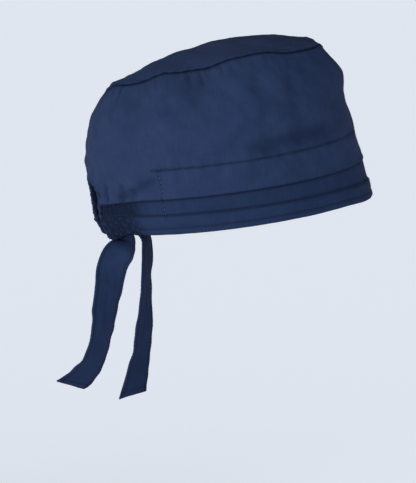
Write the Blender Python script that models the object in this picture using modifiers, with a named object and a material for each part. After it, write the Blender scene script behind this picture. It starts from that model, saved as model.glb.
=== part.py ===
"""A tie-back scrub cap: a domed crown panel, a side wall, a rim band and two ties.

The cap is built in its own frame, with the rim on the plane z = 0, +X towards the
wearer's face and +Y towards the wearer's left. An empty then tips that frame front up,
as the cap sits on a head, and the two ties hang straight down under their own weight.
"""

import bisect
import math
from collections import namedtuple

import bmesh
import bpy
from mathutils import Matrix, Vector

# The rim and how the cap sits, in metres and degrees
RIM_LENGTH = 0.216
RIM_WIDTH = 0.170
RIM_TILT_DEG = 7.2

# The rim band
BAND_HEIGHT = 0.028
BAND_THICKNESS = 0.0018
BAND_INSET = 0.0005
CHANNEL_HEIGHT = 0.016

# The gathered ends of the band, where the elastic draws it up
RUCHE_LENGTH = 0.036
RUCHE_DEPTH = 0.0013
RUCHE_FOLDS = 8
RUCHE_DROOP = 0.006

# The crown panel
CROWN_LENGTH = 0.176
CROWN_WIDTH = 0.0925
CROWN_SETBACK = 0.004
CROWN_HEIGHT = 0.134
CROWN_BOW = 0.0074
CROWN_EGG = 0.30

# The cloth and the seams
CLOTH = 0.0012
SEAM_GAP = 0.0003
SEAM_WAVE = 0.0030
FOLD_DEPTH = 0.0030
GATHER_LENGTH = 0.062
GATHER_DEPTH = 0.0011
GATHER_FOLDS = 6

# The opening at the centre back
OPENING_WIDTH = 0.032
OPENING_HEIGHT = 0.042

# The ties
TIE_WIDTH = 0.024
TIE_THICKNESS = 0.0016
TIE_ROOT = 0.014
TIE_GAP = 0.0005
TIE_SETBACK = 0.002
RIGHT_TIE_LENGTH = 0.1485
RIGHT_TIE_SEWN = 0.0215
RIGHT_TIE_SLANT = 0.0177
LEFT_TIE_LENGTH = 0.1678
LEFT_TIE_SEWN = 0.0030
LEFT_TIE_SLANT = 0.0095

# How finely each surface is cut
FRONT_COLUMNS = 28
GATHER_COLUMNS = 21
ARCH_COLUMNS = 5
WALL_ROWS = 10
CROWN_RINGS = 6
BAND_COLUMNS = 30
COLUMNS_IN_A_FOLD = 4
TIE_STATIONS = 34
TIE_TURN = 0.01

HALF_LENGTH = RIM_LENGTH / 2
HALF_WIDTH = RIM_WIDTH / 2
TIPPED = Matrix.Rotation(-math.radians(RIM_TILT_DEG), 4, "Y")

# Reach of the band's outside, as shares of half the rim's length (front and back) and
# of half its width (side); rise is a share of the band's height
BandSection = namedtuple("BandSection", "rise front side back")
BAND_SECTIONS = (
    BandSection(0.00, 1.000, 1.000, 0.955),
    BandSection(0.15, 0.993, 1.003, 0.985),
    BandSection(0.50, 0.978, 1.007, 1.028),
    BandSection(1.00, 0.960, 1.010, 1.043),
)

# Share of the way in from the band seam to the crown seam; rise is a share of the wall
WallSection = namedtuple("WallSection", "rise front side back")
WALL_SECTIONS = (
    WallSection(0.00, 0.00, 0.00, 0.00),
    WallSection(0.12, 0.11, -0.02, 0.00),
    WallSection(0.27, 0.20, -0.02, 0.01),
    WallSection(0.43, 0.31, 0.03, 0.05),
    WallSection(0.57, 0.41, 0.12, 0.14),
    WallSection(0.72, 0.50, 0.29, 0.31),
    WallSection(0.87, 0.70, 0.58, 0.61),
    WallSection(1.00, 1.00, 1.00, 1.00),
)

# Height of the crown's middle line, as a share of the crown's height; along runs from
# the back seam at -1 to the front seam at 1
RidgePoint = namedtuple("RidgePoint", "along height")
RIDGE = (
    RidgePoint(-1.00, 0.805),
    RidgePoint(-0.78, 0.866),
    RidgePoint(-0.52, 0.926),
    RidgePoint(-0.24, 0.969),
    RidgePoint(0.05, 0.997),
    RidgePoint(0.27, 1.000),
    RidgePoint(0.56, 0.985),
    RidgePoint(0.76, 0.957),
    RidgePoint(0.91, 0.926),
    RidgePoint(1.00, 0.882),
)

# Rises and dips of the puckered crown seam: where they lie round the cap, how wide they
# are, and a share of the wave's height, downwards where it is negative
SeamWave = namedtuple("SeamWave", "turn_deg width_deg lift")
SEAM_WAVES = (
    SeamWave(-166, 7, 0.85),
    SeamWave(-156, 7, 1.55),
    SeamWave(-146, 7, 0.65),
    SeamWave(-134, 7, 0.23),
    SeamWave(-122, 7, 0.74),
    SeamWave(-110, 7, -0.19),
    SeamWave(-98, 7, -0.73),
    SeamWave(-86, 9, 0.35),
    SeamWave(-70, 9, 0.61),
    SeamWave(-52, 9, -0.57),
    SeamWave(-36, 9, -0.19),
    SeamWave(-20, 9, 0.64),
    SeamWave(19, 9, 0.55),
    SeamWave(37, 9, -0.25),
    SeamWave(55, 9, -0.50),
    SeamWave(73, 9, 0.50),
    SeamWave(90, 8, 0.10),
    SeamWave(102, 7, -0.65),
    SeamWave(119, 7, 0.10),
    SeamWave(131, 7, -0.50),
    SeamWave(144, 7, -0.15),
    SeamWave(155, 7, 0.50),
    SeamWave(166, 7, 0.05),
)

# Soft folds and dents of the wall: where they lie, their reach round and up the wall,
# and a share of the fold depth, inwards where it is negative
Fold = namedtuple("Fold", "turn_deg rise turn_reach_deg rise_reach depth")
FOLDS = (
    Fold(-8, 0.80, 22, 0.11, 0.70),
    Fold(-66, 0.36, 26, 0.12, -0.80),
    Fold(-30, 0.72, 14, 0.20, -0.35),
    Fold(-107, 0.84, 7, 0.20, -0.60),
    Fold(-92, 0.70, 9, 0.24, 0.30),
    Fold(-124, 0.80, 9, 0.24, 0.35),
    Fold(-138, 0.88, 6, 0.14, -0.40),
    Fold(-152, 0.34, 12, 0.22, 0.45),
    Fold(14, 0.74, 12, 0.22, -0.35),
    Fold(58, 0.40, 24, 0.14, -0.80),
    Fold(79, 0.82, 7, 0.18, -0.45),
    Fold(103, 0.84, 8, 0.22, -0.60),
    Fold(118, 0.66, 12, 0.24, 0.40),
    Fold(148, 0.36, 13, 0.24, 0.45),
)

# How a tie hangs. Along is a share of the part below the rim, back_deg leans it to the
# back, out_deg to the wearer's right, and face_deg turns its width away from fore and aft
TieBend = namedtuple("TieBend", "along back_deg out_deg face_deg")
RIGHT_TIE_BENDS = (
    TieBend(0.00, 60.0, 0, 41.5),
    TieBend(0.05, 70.0, 2, 32.0),
    TieBend(0.10, 60.0, 4, 22.6),
    TieBend(0.22, 10.0, 4, 0.0),
    TieBend(0.40, 8.5, 0, -20.0),
    TieBend(0.60, 9.6, -1, -36.5),
    TieBend(0.76, 27.2, 0, -38.8),
    TieBend(0.88, 42.1, 1, -24.9),
    TieBend(1.00, 63.6, 2, -22.3),
)
LEFT_TIE_BENDS = (
    TieBend(0.00, -38.1, 16, -66.0),
    TieBend(0.06, -58.0, 16, -66.0),
    TieBend(0.12, -79.0, 14, -66.0),
    TieBend(0.18, -51.2, 10, -65.5),
    TieBend(0.25, -2.9, 6, -64.5),
    TieBend(0.35, 3.1, 2, -63.0),
    TieBend(0.50, 1.8, 0, -59.0),
    TieBend(0.68, 6.3, 0, -53.0),
    TieBend(0.84, 10.8, 0, -39.5),
    TieBend(1.00, 12.6, 0, -20.5),
)

# Each tie's length, how much of its root is sewn flat, and the slant of its end
Tie = namedtuple("Tie", "length sewn slant")
RIGHT_TIE = Tie(RIGHT_TIE_LENGTH, RIGHT_TIE_SEWN, RIGHT_TIE_SLANT)
LEFT_TIE = Tie(LEFT_TIE_LENGTH, LEFT_TIE_SEWN, LEFT_TIE_SLANT)

# A tie's cut across: shares of half its width and of half its thickness
TIE_RING = ((-1.0, 0.0), (-0.86, -1.0), (0.86, -1.0), (1.0, 0.0), (0.86, 1.0), (-0.86, 1.0))


def read(rows, column, at):
    """Value of a table's column at a key, on a smooth curve through the rows."""
    keys = [row[0] for row in rows]
    values = [getattr(row, column) for row in rows]
    at = min(max(at, keys[0]), keys[-1])
    low = min(bisect.bisect_right(keys, at) - 1, len(keys) - 2)

    def slope(i):
        before, after = max(i - 1, 0), min(i + 1, len(keys) - 1)
        return (values[after] - values[before]) / (keys[after] - keys[before])

    span = keys[low + 1] - keys[low]
    s = (at - keys[low]) / span
    return (
        values[low] * (2 * s**3 - 3 * s**2 + 1)
        + values[low + 1] * (3 * s**2 - 2 * s**3)
        + slope(low) * span * (s**3 - 2 * s**2 + s)
        + slope(low + 1) * span * (s**3 - s**2)
    )


def eased(share):
    """0 to 1, starting and ending gently."""
    share = min(max(share, 0.0), 1.0)
    return share * share * (3 - 2 * share)


def bump(distance, reach):
    """A smooth hill, 1 in its middle."""
    return math.exp(-((distance / reach) ** 2))


def apart_deg(turn, degrees):
    """Degrees between a turn and a direction round the cap."""
    return (math.degrees(turn) - degrees + 180) % 360 - 180


def oval(turn, front, side, back):
    """A point of a plan outline with its own front, side and back reach."""
    reach = front if math.cos(turn) > 0 else back
    return Vector((reach * math.cos(turn), side * math.sin(turn), 0))


def band_surface(turn, rise):
    """Outside of the band without its gathers."""
    point = oval(
        turn,
        HALF_LENGTH * read(BAND_SECTIONS, "front", rise),
        HALF_WIDTH * read(BAND_SECTIONS, "side", rise),
        HALF_LENGTH * read(BAND_SECTIONS, "back", rise),
    )
    point.z = rise * BAND_HEIGHT
    return point


def measured_from_back(steps=720):
    """Turns from the centre back to the front, with the length of the band up to each."""
    turns = [math.pi * (1 - i / steps) for i in range(steps + 1)]
    lengths = [0.0]
    for before, after in zip(turns, turns[1:]):
        step = band_surface(after, 1) - band_surface(before, 1)
        lengths.append(lengths[-1] + step.length)
    return turns, lengths


BACK_TURNS, BACK_LENGTHS = measured_from_back()


def turn_at(length):
    """The turn that lies a length of band from the centre back."""
    i = min(max(bisect.bisect_left(BACK_LENGTHS, length), 1), len(BACK_LENGTHS) - 1)
    share = (length - BACK_LENGTHS[i - 1]) / (BACK_LENGTHS[i] - BACK_LENGTHS[i - 1])
    return BACK_TURNS[i - 1] + share * (BACK_TURNS[i] - BACK_TURNS[i - 1])


def from_back(turn):
    """The length of band between a turn and the centre back."""
    share = (1 - abs(math.remainder(turn, 2 * math.pi)) / math.pi) * (len(BACK_TURNS) - 1)
    i = min(int(share), len(BACK_TURNS) - 2)
    return BACK_LENGTHS[i] + (share - i) * (BACK_LENGTHS[i + 1] - BACK_LENGTHS[i])


OPENING_TURN = turn_at(OPENING_WIDTH / 2)
GATHER_TURN = turn_at(OPENING_WIDTH / 2 + GATHER_LENGTH)
RUCHE_TURN = turn_at(OPENING_WIDTH / 2 + RUCHE_LENGTH)


def crown_surface(along, across):
    """Outside of the crown, from its middle out to a circle of radius 1 at its seam."""
    out = math.hypot(along, across)
    turn = math.atan2(across, along)
    lift = sum(w.lift * bump(apart_deg(turn, w.turn_deg), w.width_deg) for w in SEAM_WAVES)
    return Vector(
        (
            CROWN_LENGTH / 2 * along - CROWN_SETBACK,
            CROWN_WIDTH / 2 * across * (1 + CROWN_EGG * along),
            CROWN_HEIGHT * read(RIDGE, "height", along)
            - CROWN_BOW * across**2 * (1 + 0.37 * min(along, 0))
            + SEAM_WAVE * lift * out**6,
        )
    )


def crown_normal(turn):
    """Outward normal of the crown at its seam."""
    step = 0.01
    edge = crown_surface(math.cos(turn), math.sin(turn))
    inner = crown_surface((1 - step) * math.cos(turn), (1 - step) * math.sin(turn))
    beside = crown_surface(math.cos(turn + step), math.sin(turn + step))
    return (edge - inner).cross(beside - edge).normalized()


def wall_surface(turn, rise):
    """Outside of the wall, from the band seam at 0 to the crown seam at 1."""
    low = band_surface(turn, 1)
    low += Vector((low.x, low.y, 0)).normalized() * BAND_INSET
    high = crown_surface(math.cos(turn), math.sin(turn))
    high -= crown_normal(turn) * (CLOTH + SEAM_GAP)
    ends = "front" if math.cos(turn) > 0 else "back"
    lengthwise = math.cos(turn) ** 2
    inward = lengthwise * read(WALL_SECTIONS, ends, rise)
    inward += (1 - lengthwise) * read(WALL_SECTIONS, "side", rise)
    point = low.lerp(high, inward)
    point.z = low.z + rise * (high.z - low.z)
    return point + point.xy.to_3d().normalized() * wall_relief(turn, rise)


def wall_relief(turn, rise):
    """How far the wall's folds and back gathers stand out."""
    inside = eased((1 - rise) / 0.12)
    folds = sum(
        f.depth
        * bump(apart_deg(turn, f.turn_deg), f.turn_reach_deg)
        * bump(rise - f.rise, f.rise_reach)
        for f in FOLDS
    )
    from_opening = (from_back(turn) - OPENING_WIDTH / 2) / GATHER_LENGTH
    fade = eased(from_opening / 0.1) * eased(1.4 * (1 - from_opening))
    ripple = math.cos(2 * math.pi * GATHER_FOLDS * from_opening)
    gathers = fade * ripple * eased(1 - rise / 0.3) * eased(rise / 0.05)
    return FOLD_DEPTH * folds * inside + GATHER_DEPTH * gathers


def arch_rise(turn):
    """Where the wall's lower edge lies: raised in an arch over the back opening."""
    share = from_back(turn) / (OPENING_WIDTH / 2)
    if share >= 1:
        return 0.0
    back_height = crown_surface(-1, 0).z - BAND_HEIGHT
    return (OPENING_HEIGHT - BAND_HEIGHT) / back_height * math.sqrt(1 - share**2)


def wall_turns():
    """The wall's columns, closer together where it is gathered at the back."""
    zones = (
        (0.0, GATHER_TURN, FRONT_COLUMNS),
        (GATHER_TURN, OPENING_TURN, GATHER_COLUMNS),
        (OPENING_TURN, math.pi, ARCH_COLUMNS),
    )
    half = [a + (b - a) * i / n for a, b, n in zones for i in range(n)]
    return half + [math.pi] + [2 * math.pi - turn for turn in reversed(half[1:])]


def band_turns():
    """The band's columns, from its right end round the front to its left end."""
    fold_columns = RUCHE_FOLDS * COLUMNS_IN_A_FOLD
    plain = [RUCHE_TURN * i / BAND_COLUMNS for i in range(BAND_COLUMNS)]
    drawn_up = [
        turn_at(OPENING_WIDTH / 2 + RUCHE_LENGTH * (1 - i / fold_columns))
        for i in range(fold_columns + 1)
    ]
    half = plain + drawn_up
    return [-turn for turn in reversed(half[1:])] + half


def shell(name, columns, rows, place, slot):
    """A tube of cloth: a cylinder whose rings are moved onto a surface."""
    mesh = bmesh.new()
    bmesh.ops.create_cone(mesh, cap_ends=False, segments=columns, radius1=1, radius2=1, depth=1)
    upright = [e for e in mesh.edges if abs(e.verts[0].co.z - e.verts[1].co.z) > 0.5]
    bmesh.ops.subdivide_edges(mesh, edges=upright, cuts=rows - 1, use_grid_fill=True)
    for vert in mesh.verts:
        angle = math.atan2(vert.co.y, vert.co.x) % (2 * math.pi)
        column = round(angle / (2 * math.pi) * columns) % columns
        vert.co = place(column, vert.co.z + 0.5)
    bmesh.ops.remove_doubles(mesh, verts=mesh.verts, dist=1e-6)
    return finished(name, mesh, slot)


def loft(name, ring, stations, place, slot):
    """A closed strip: a capped cylinder whose rings are moved onto its sections."""
    mesh = bmesh.new()
    bmesh.ops.create_cone(mesh, cap_ends=True, segments=ring, radius1=1, radius2=1, depth=1)
    long_edges = [e for e in mesh.edges if abs(e.verts[0].co.z - e.verts[1].co.z) > 0.5]
    bmesh.ops.subdivide_edges(mesh, edges=long_edges, cuts=stations - 2, use_grid_fill=True)
    for vert in mesh.verts:
        angle = math.atan2(vert.co.y, vert.co.x) % (2 * math.pi)
        corner = round(angle / (2 * math.pi) * ring) % ring
        vert.co = place(corner, round((vert.co.z + 0.5) * (stations - 1)))
    if mesh.calc_volume(signed=True) < 0:
        bmesh.ops.reverse_faces(mesh, faces=mesh.faces)
    return finished(name, mesh, slot)


def finished(name, mesh, slot):
    """The mesh as an object of the cap's collection, smooth except at its edges."""
    data = bpy.data.meshes.new(name)
    mesh.to_mesh(data)
    mesh.free()
    data.shade_smooth()
    data.set_sharp_from_angle(angle=math.radians(40))
    data.materials.append(cloth_material(slot))
    piece = bpy.data.objects.new(name, data)
    collection().objects.link(piece)
    return piece


def collection():
    """The collection that holds the cap."""
    name = "scrub_cap"
    if name not in bpy.data.collections:
        made = bpy.data.collections.new(name)
        bpy.context.scene.collection.children.link(made)
    return bpy.data.collections[name]


def cloth_material(slot):
    """Navy poplin, a shade apart for each slot."""
    colours = {
        "navy_poplin": (0.030, 0.048, 0.105, 1),
        "navy_binding": (0.024, 0.040, 0.090, 1),
    }
    if slot not in bpy.data.materials:
        material = bpy.data.materials.new(slot)
        material.use_nodes = True
        surface = material.node_tree.nodes["Principled BSDF"]
        surface.inputs["Base Color"].default_value = colours[slot]
        surface.inputs["Roughness"].default_value = 0.85
        surface.inputs["Metallic"].default_value = 0.0
    return bpy.data.materials[slot]


def thicken(piece, thickness):
    """Gives an open sheet its cloth, laid on the inside of the surface."""
    modifier = piece.modifiers.new("cloth", "SOLIDIFY")
    modifier.thickness = thickness
    modifier.offset = -1
    modifier.use_quality_normals = True


def make_crown():
    """The domed oval panel on top."""
    turns = wall_turns()

    def place(column, height):
        out = 1 - height
        return crown_surface(out * math.cos(turns[column]), out * math.sin(turns[column]))

    piece = shell("crown_panel", len(turns), CROWN_RINGS, place, "navy_poplin")
    thicken(piece, CLOTH)
    return piece


def make_wall():
    """The side wall, one strip joined at the centre back above its opening."""
    turns = wall_turns()

    def place(column, height):
        low = arch_rise(turns[column])
        return wall_surface(turns[column], low + (1 - low) * height)

    piece = shell("side_wall", len(turns), WALL_ROWS, place, "navy_poplin")
    thicken(piece, CLOTH)
    return piece


def drawn_up(turn):
    """0 along the plain band, rising to 1 at its gathered ends."""
    from_end = (from_back(turn) - OPENING_WIDTH / 2) / RUCHE_LENGTH
    return eased(1.5 * (1 - from_end))


def band_point(turn, rise, depth=0.0):
    """A point of the band, from its outside in by a depth."""
    point = band_surface(turn, rise)
    outward = point.xy.to_3d().normalized()
    from_end = (from_back(turn) - OPENING_WIDTH / 2) / RUCHE_LENGTH
    point.z -= RUCHE_DROOP * eased(1 - 1.4 * from_end) * (1 - rise)
    return point - outward * depth


def band_relief(turn, rise):
    """How far the gathers and the two sewn strips stand out from the band."""
    from_end = (from_back(turn) - OPENING_WIDTH / 2) / RUCHE_LENGTH
    ripple = math.cos(2 * math.pi * RUCHE_FOLDS * from_end)
    below_seam = eased((1 - rise) / 0.2)
    channel = bump(rise - CHANNEL_HEIGHT / BAND_HEIGHT, 0.08)
    return RUCHE_DEPTH / 2 * (ripple * drawn_up(turn) * below_seam - 0.6 * channel)


def make_band():
    """The folded band round the rim, gathered at both ends beside the opening."""
    turns = band_turns()
    channel = CHANNEL_HEIGHT / BAND_HEIGHT
    top = 1 - SEAM_GAP / BAND_HEIGHT
    outside = (0.04, channel / 2, channel, (channel + top) / 2, top)
    inside = (top, channel, 0.7 * channel, 0.27 * channel, 0.04)

    def place(corner, station):
        turn = turns[station]
        if corner < len(outside):
            rise = outside[corner]
            return band_point(turn, rise, -band_relief(turn, rise))
        if corner < len(outside) + len(inside):
            return band_point(turn, inside[corner - len(outside)], BAND_THICKNESS)
        return band_point(turn, 0.0, BAND_THICKNESS / 2)

    ring = len(outside) + len(inside) + 1
    return loft("rim_band", ring, len(turns), place, "navy_binding")


def tie_root(side):
    """Where a tie is sewn inside the band: its top, its bottom and its width's direction."""
    near = OPENING_WIDTH / 2 + TIE_SETBACK
    turns = [side * turn_at(length) for length in (near, near + TIE_WIDTH)]
    depth = BAND_THICKNESS + TIE_GAP + TIE_THICKNESS / 2

    def middle(rise):
        first, last = (band_point(turn, rise, depth) for turn in turns)
        return TIPPED @ ((first + last) / 2), (TIPPED @ (last - first)).normalized()

    top, across = middle(TIE_ROOT / BAND_HEIGHT)
    bottom, _ = middle(0.0)
    return top, bottom, across


def tie_route(side, length, sewn, bends):
    """Centre points, directions and widthwise directions from a tie's root to its end."""
    top, bottom, across = tie_root(side)
    down = (bottom - top).normalized()
    bottom = top + down * sewn
    hang = length - sewn
    first = max(2, round(TIE_STATIONS * sewn / length))
    route = [
        (top.lerp(bottom, i / first), down, across)
        for i in range(first)
    ]
    steps = TIE_STATIONS - first
    point = bottom.copy()
    for i in range(steps + 1):
        along = i / steps
        back = math.radians(read(bends, "back_deg", along))
        out = math.radians(read(bends, "out_deg", along))
        face = math.radians(read(bends, "face_deg", along))
        heading = Vector((-math.sin(back), -math.sin(out), -math.cos(back) * math.cos(out)))
        settled = eased(along / 0.08)
        heading = down.lerp(heading.normalized(), eased(along / TIE_TURN)).normalized()
        faced = Vector((math.cos(face), -math.sin(face), 0))
        width = across.lerp(faced, settled)
        width = (width - heading * width.dot(heading)).normalized()
        route.append((point.copy(), heading, width))
        point += heading * hang / steps
    return route


def make_tie(name, side, tie, bends):
    """A flat tie, sewn in at its root and cut slanting at its free end."""
    route = tie_route(side, tie.length, tie.sewn, bends)
    slanting = 3 * tie.slant / tie.length

    def place(corner, station):
        centre, heading, width = route[station]
        across, through = TIE_RING[corner]
        face = heading.cross(width)
        cut = eased((station / (len(route) - 1) - 1 + slanting) / slanting)
        slant = -across * tie.slant / 2 * cut
        return (
            centre
            + width * across * TIE_WIDTH / 2
            + face * through * TIE_THICKNESS / 2
            + heading * slant
        )

    return loft(name, len(TIE_RING), len(route), place, "navy_binding")


def clear_scene():
    """Removes whatever the file held."""
    for old in list(bpy.data.objects):
        bpy.data.objects.remove(old, do_unlink=True)


def empty(name, parent=None):
    """An empty that carries pieces."""
    made = bpy.data.objects.new(name, None)
    collection().objects.link(made)
    made.parent = parent
    return made


def main():
    """Builds the cap and seats it on its empties."""
    clear_scene()
    head_seat = empty("head_seat")
    rim_plane = empty("rim_plane", head_seat)
    rim_plane.rotation_euler.y = -math.radians(RIM_TILT_DEG)
    for piece in (make_crown(), make_wall(), make_band()):
        piece.parent = rim_plane
    ties = (
        make_tie("right_tie", -1, RIGHT_TIE, RIGHT_TIE_BENDS),
        make_tie("left_tie", 1, LEFT_TIE, LEFT_TIE_BENDS),
    )
    for tie in ties:
        tie.parent = head_seat
    bpy.context.view_layer.update()


main()
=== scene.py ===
"""Looks of a navy tie-back scrub cap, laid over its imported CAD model.

The cloth pieces repeat the CAD model's surfaces at a finer grain and add what the solids leave
out: the drawn-up ruching beside the back opening, the puckers of every seam, the creases of the
wall, the stitches and the weave. Lengths are in metres unless a name says otherwise.
"""

import logging
import math
from collections.abc import Callable, Sequence
from dataclasses import dataclass, field, replace
from enum import Enum
from functools import cached_property
from typing import NamedTuple

import bmesh
import bpy
import numpy as np
from mathutils import Matrix, Vector

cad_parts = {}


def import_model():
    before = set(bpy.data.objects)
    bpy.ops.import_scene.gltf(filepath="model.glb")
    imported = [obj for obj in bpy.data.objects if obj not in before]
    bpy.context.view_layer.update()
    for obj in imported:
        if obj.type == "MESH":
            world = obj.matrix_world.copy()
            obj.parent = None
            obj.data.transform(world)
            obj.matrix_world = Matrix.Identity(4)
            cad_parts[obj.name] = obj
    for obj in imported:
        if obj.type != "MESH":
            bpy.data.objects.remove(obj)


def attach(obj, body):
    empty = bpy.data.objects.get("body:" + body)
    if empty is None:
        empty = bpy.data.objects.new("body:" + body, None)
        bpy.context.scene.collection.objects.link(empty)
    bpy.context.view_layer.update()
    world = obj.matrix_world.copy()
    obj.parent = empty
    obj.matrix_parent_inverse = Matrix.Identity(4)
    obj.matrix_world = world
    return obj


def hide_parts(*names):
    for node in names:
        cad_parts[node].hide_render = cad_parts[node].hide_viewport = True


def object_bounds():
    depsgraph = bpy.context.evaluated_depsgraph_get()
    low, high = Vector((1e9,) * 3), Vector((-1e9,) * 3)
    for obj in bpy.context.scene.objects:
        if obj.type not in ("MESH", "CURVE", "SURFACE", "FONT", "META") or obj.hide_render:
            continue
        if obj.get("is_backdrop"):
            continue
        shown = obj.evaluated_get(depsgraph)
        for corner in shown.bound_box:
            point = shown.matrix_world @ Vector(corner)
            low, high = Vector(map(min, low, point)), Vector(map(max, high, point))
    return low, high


log = logging.getLogger("scrub_cap")

# Scales of the noises in the cloth: the threads' wander, the slubs and the soft blotches
WANDER_SCALE = 900.0
SLUB_SCALE = 1300.0
BLOTCH_SCALE = 38.0
# Degrees in a turn, and how many stations measure one
TURN = 360
TURN_STATIONS = 1441

Array = np.ndarray
Colour = tuple[float, float, float]
Socket = bpy.types.NodeSocket
Line = Callable[[Array], Array]
Surface = Callable[[Array, Array], Array]
MM = 0.001

# The band's plan outline at shares of its height: front, side and back reach as shares
BAND_SECTIONS = (
    (0.00, 1.000, 1.000, 0.955), (0.15, 0.993, 1.003, 0.985), (0.50, 0.978, 1.007, 1.028),
    (1.00, 0.960, 1.010, 1.043),
)
# The wall's lean at shares of its height: how far it has come in at the front, side and back
WALL_SECTIONS = (
    (0.00, 0.00, 0.00, 0.00), (0.12, 0.11, -0.02, 0.00), (0.27, 0.20, -0.02, 0.01),
    (0.43, 0.31, 0.03, 0.05), (0.57, 0.41, 0.12, 0.14), (0.72, 0.50, 0.29, 0.31),
    (0.87, 0.70, 0.58, 0.61), (1.00, 1.00, 1.00, 1.00),
)
# The crown's height along its middle, from back to front, as shares
RIDGE = (
    (-1.00, 0.805), (-0.78, 0.866), (-0.52, 0.926), (-0.24, 0.969), (0.05, 0.997), (0.27, 1.000),
    (0.56, 0.985), (0.76, 0.957), (0.91, 0.926), (1.00, 0.882),
)
# Waves of the crown seam: direction and width in degrees, lift as a share
SEAM_WAVES = (
    (-166, 7, 0.85), (-156, 7, 1.55), (-146, 7, 0.65), (-134, 7, 0.23), (-122, 7, 0.74),
    (-110, 7, -0.19), (-98, 7, -0.73), (-86, 9, 0.35), (-70, 9, 0.61), (-52, 9, -0.57),
    (-36, 9, -0.19), (-20, 9, 0.64), (19, 9, 0.55), (37, 9, -0.25), (55, 9, -0.50), (73, 9, 0.50),
    (90, 8, 0.10), (102, 7, -0.65), (119, 7, 0.10), (131, 7, -0.50), (144, 7, -0.15),
    (155, 7, 0.50), (166, 7, 0.05),
)
# The wall's broad folds: direction in degrees, rise, their two reaches, depth as a share
FOLDS = (
    (-8, 0.80, 22, 0.11, 0.70), (-66, 0.36, 26, 0.12, -0.80), (-30, 0.72, 14, 0.20, -0.35),
    (-107, 0.84, 7, 0.20, -0.60), (-92, 0.70, 9, 0.24, 0.30), (-124, 0.80, 9, 0.24, 0.35),
    (-138, 0.88, 6, 0.14, -0.40), (-152, 0.34, 12, 0.22, 0.45), (14, 0.74, 12, 0.22, -0.35),
    (58, 0.40, 24, 0.14, -0.80), (79, 0.82, 7, 0.18, -0.45), (103, 0.84, 8, 0.22, -0.60),
    (118, 0.66, 12, 0.24, 0.40), (148, 0.36, 13, 0.24, 0.45),
)
# How each tie swings and turns along its free length, in degrees: back, out and face
RIGHT_TIE_BENDS = (
    (0.00, 44.0, 0, 62.0), (0.05, 50.0, 2, 44.0), (0.10, 42.0, 4, 22.0), (0.16, 26.0, 4, 6.0),
    (0.24, 14.0, 4, -2.0), (0.40, 8.5, 0, -20.0), (0.60, 9.6, -1, -36.5), (0.76, 27.2, 0, -38.8),
    (0.88, 42.1, 1, -24.9), (1.00, 63.6, 2, -22.3),
)
LEFT_TIE_BENDS = (
    (0.00, -38.1, 16, -66.0), (0.06, -58.0, 16, -66.0), (0.12, -79.0, 14, -66.0),
    (0.18, -51.2, 10, -65.5), (0.25, -2.9, 6, -64.5), (0.35, 3.1, 2, -63.0), (0.50, 1.8, 0, -59.0),
    (0.68, 6.3, 0, -53.0), (0.84, 10.8, 0, -39.5), (1.00, 12.6, 0, -20.5),
)


class Crease(NamedTuple):
    """A crease pressed into the wall, from one point to another, in millimetres.

    Places are given by the length of band from the centre back and by the height over the rim.
    A positive depth is a ridge. Lean raises the side on the left of its direction.
    """

    start: tuple[float, float]
    end: tuple[float, float]
    width: float
    depth: float
    lean: float = 0.0


RIGHT_CREASES = (
    Crease((156, 59.5), (236, 63), 7.0, -1.5, 0.5), Crease((150, 72), (235, 76), 9.0, 0.7),
    Crease((121, 121), (119.5, 103), 6.5, -0.7), Crease((135, 116), (121.5, 96), 4.2, -0.6, -0.6),
    Crease((153, 124), (153, 118), 1.6, -0.6), Crease((166, 126), (167, 121), 2.6, 0.4),
    Crease((191, 130), (192, 124), 3.4, 0.8), Crease((224, 131), (226, 124), 3.0, 0.5),
    Crease((82, 45), (45, 30), 3.2, -1.3, 0.5), Crease((33, 40), (31, 27), 2.2, -1.3),
    Crease((51, 42), (49, 28), 2.4, -1.3), Crease((62, 38), (60, 29), 2.6, -0.6),
    Crease((24, 40), (22, 29), 2.6, -0.6), Crease((94, 108), (99, 92), 5.0, -0.5, 0.4),
    Crease((45, 106), (40, 92), 4.0, -0.5), Crease((72, 112), (70, 102), 3.0, -0.5),
    Crease((250, 118), (262, 98), 6.0, -0.25, 0.3), Crease((268, 97), (312, 99), 13.0, 1.9),
)
LEFT_CREASES = (
    Crease((158, 60), (232, 57), 5.5, -1.4, -0.5), Crease((150, 73), (240, 71), 9.0, 0.7),
    Crease((112, 121), (116, 101), 3.4, -1.0), Crease((140, 119), (131, 98), 3.0, -0.7, 0.6),
    Crease((171, 126), (172, 119), 2.0, -0.6), Crease((205, 130), (204, 124), 3.0, 0.5),
    Crease((80, 46), (48, 31), 3.2, -0.9, 0.5), Crease((30, 42), (29, 29), 2.4, -0.9),
    Crease((45, 40), (43, 29), 2.4, -0.9), Crease((58, 39), (57, 29), 2.6, -0.6),
    Crease((88, 110), (94, 94), 5.0, -0.5, 0.4), Crease((52, 108), (50, 95), 4.0, -0.5),
    Crease((259, 116), (254, 97), 5.0, -0.5, 0.3), Crease((290, 110), (284, 86), 6.0, -0.4),
    Crease((268, 97), (300, 99), 13.0, 1.0),
)


class Side(Enum):
    """The wearer's side that a piece is on, with the sign of its Y."""

    RIGHT = -1
    LEFT = 1


class Slot(Enum):
    """The two cloths, whose names start their materials' names."""

    POPLIN = "navy_poplin"
    BINDING = "navy_binding"


# --------------------------------------------------------------------------- numbers and curves


def read(rows: Sequence[Sequence[float]], column: int, at: Array) -> Array:
    """Reads a table's column on a smooth curve through its rows.

    Args:
        rows: The table, its first column the keys.
        column: Which column to read.
        at: Keys to read at; those outside the table take its nearest end.

    Returns:
        The value at each key.
    """
    table = np.asarray(rows, dtype=float)
    return through(table[:, 0], table[:, column], at)


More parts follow.
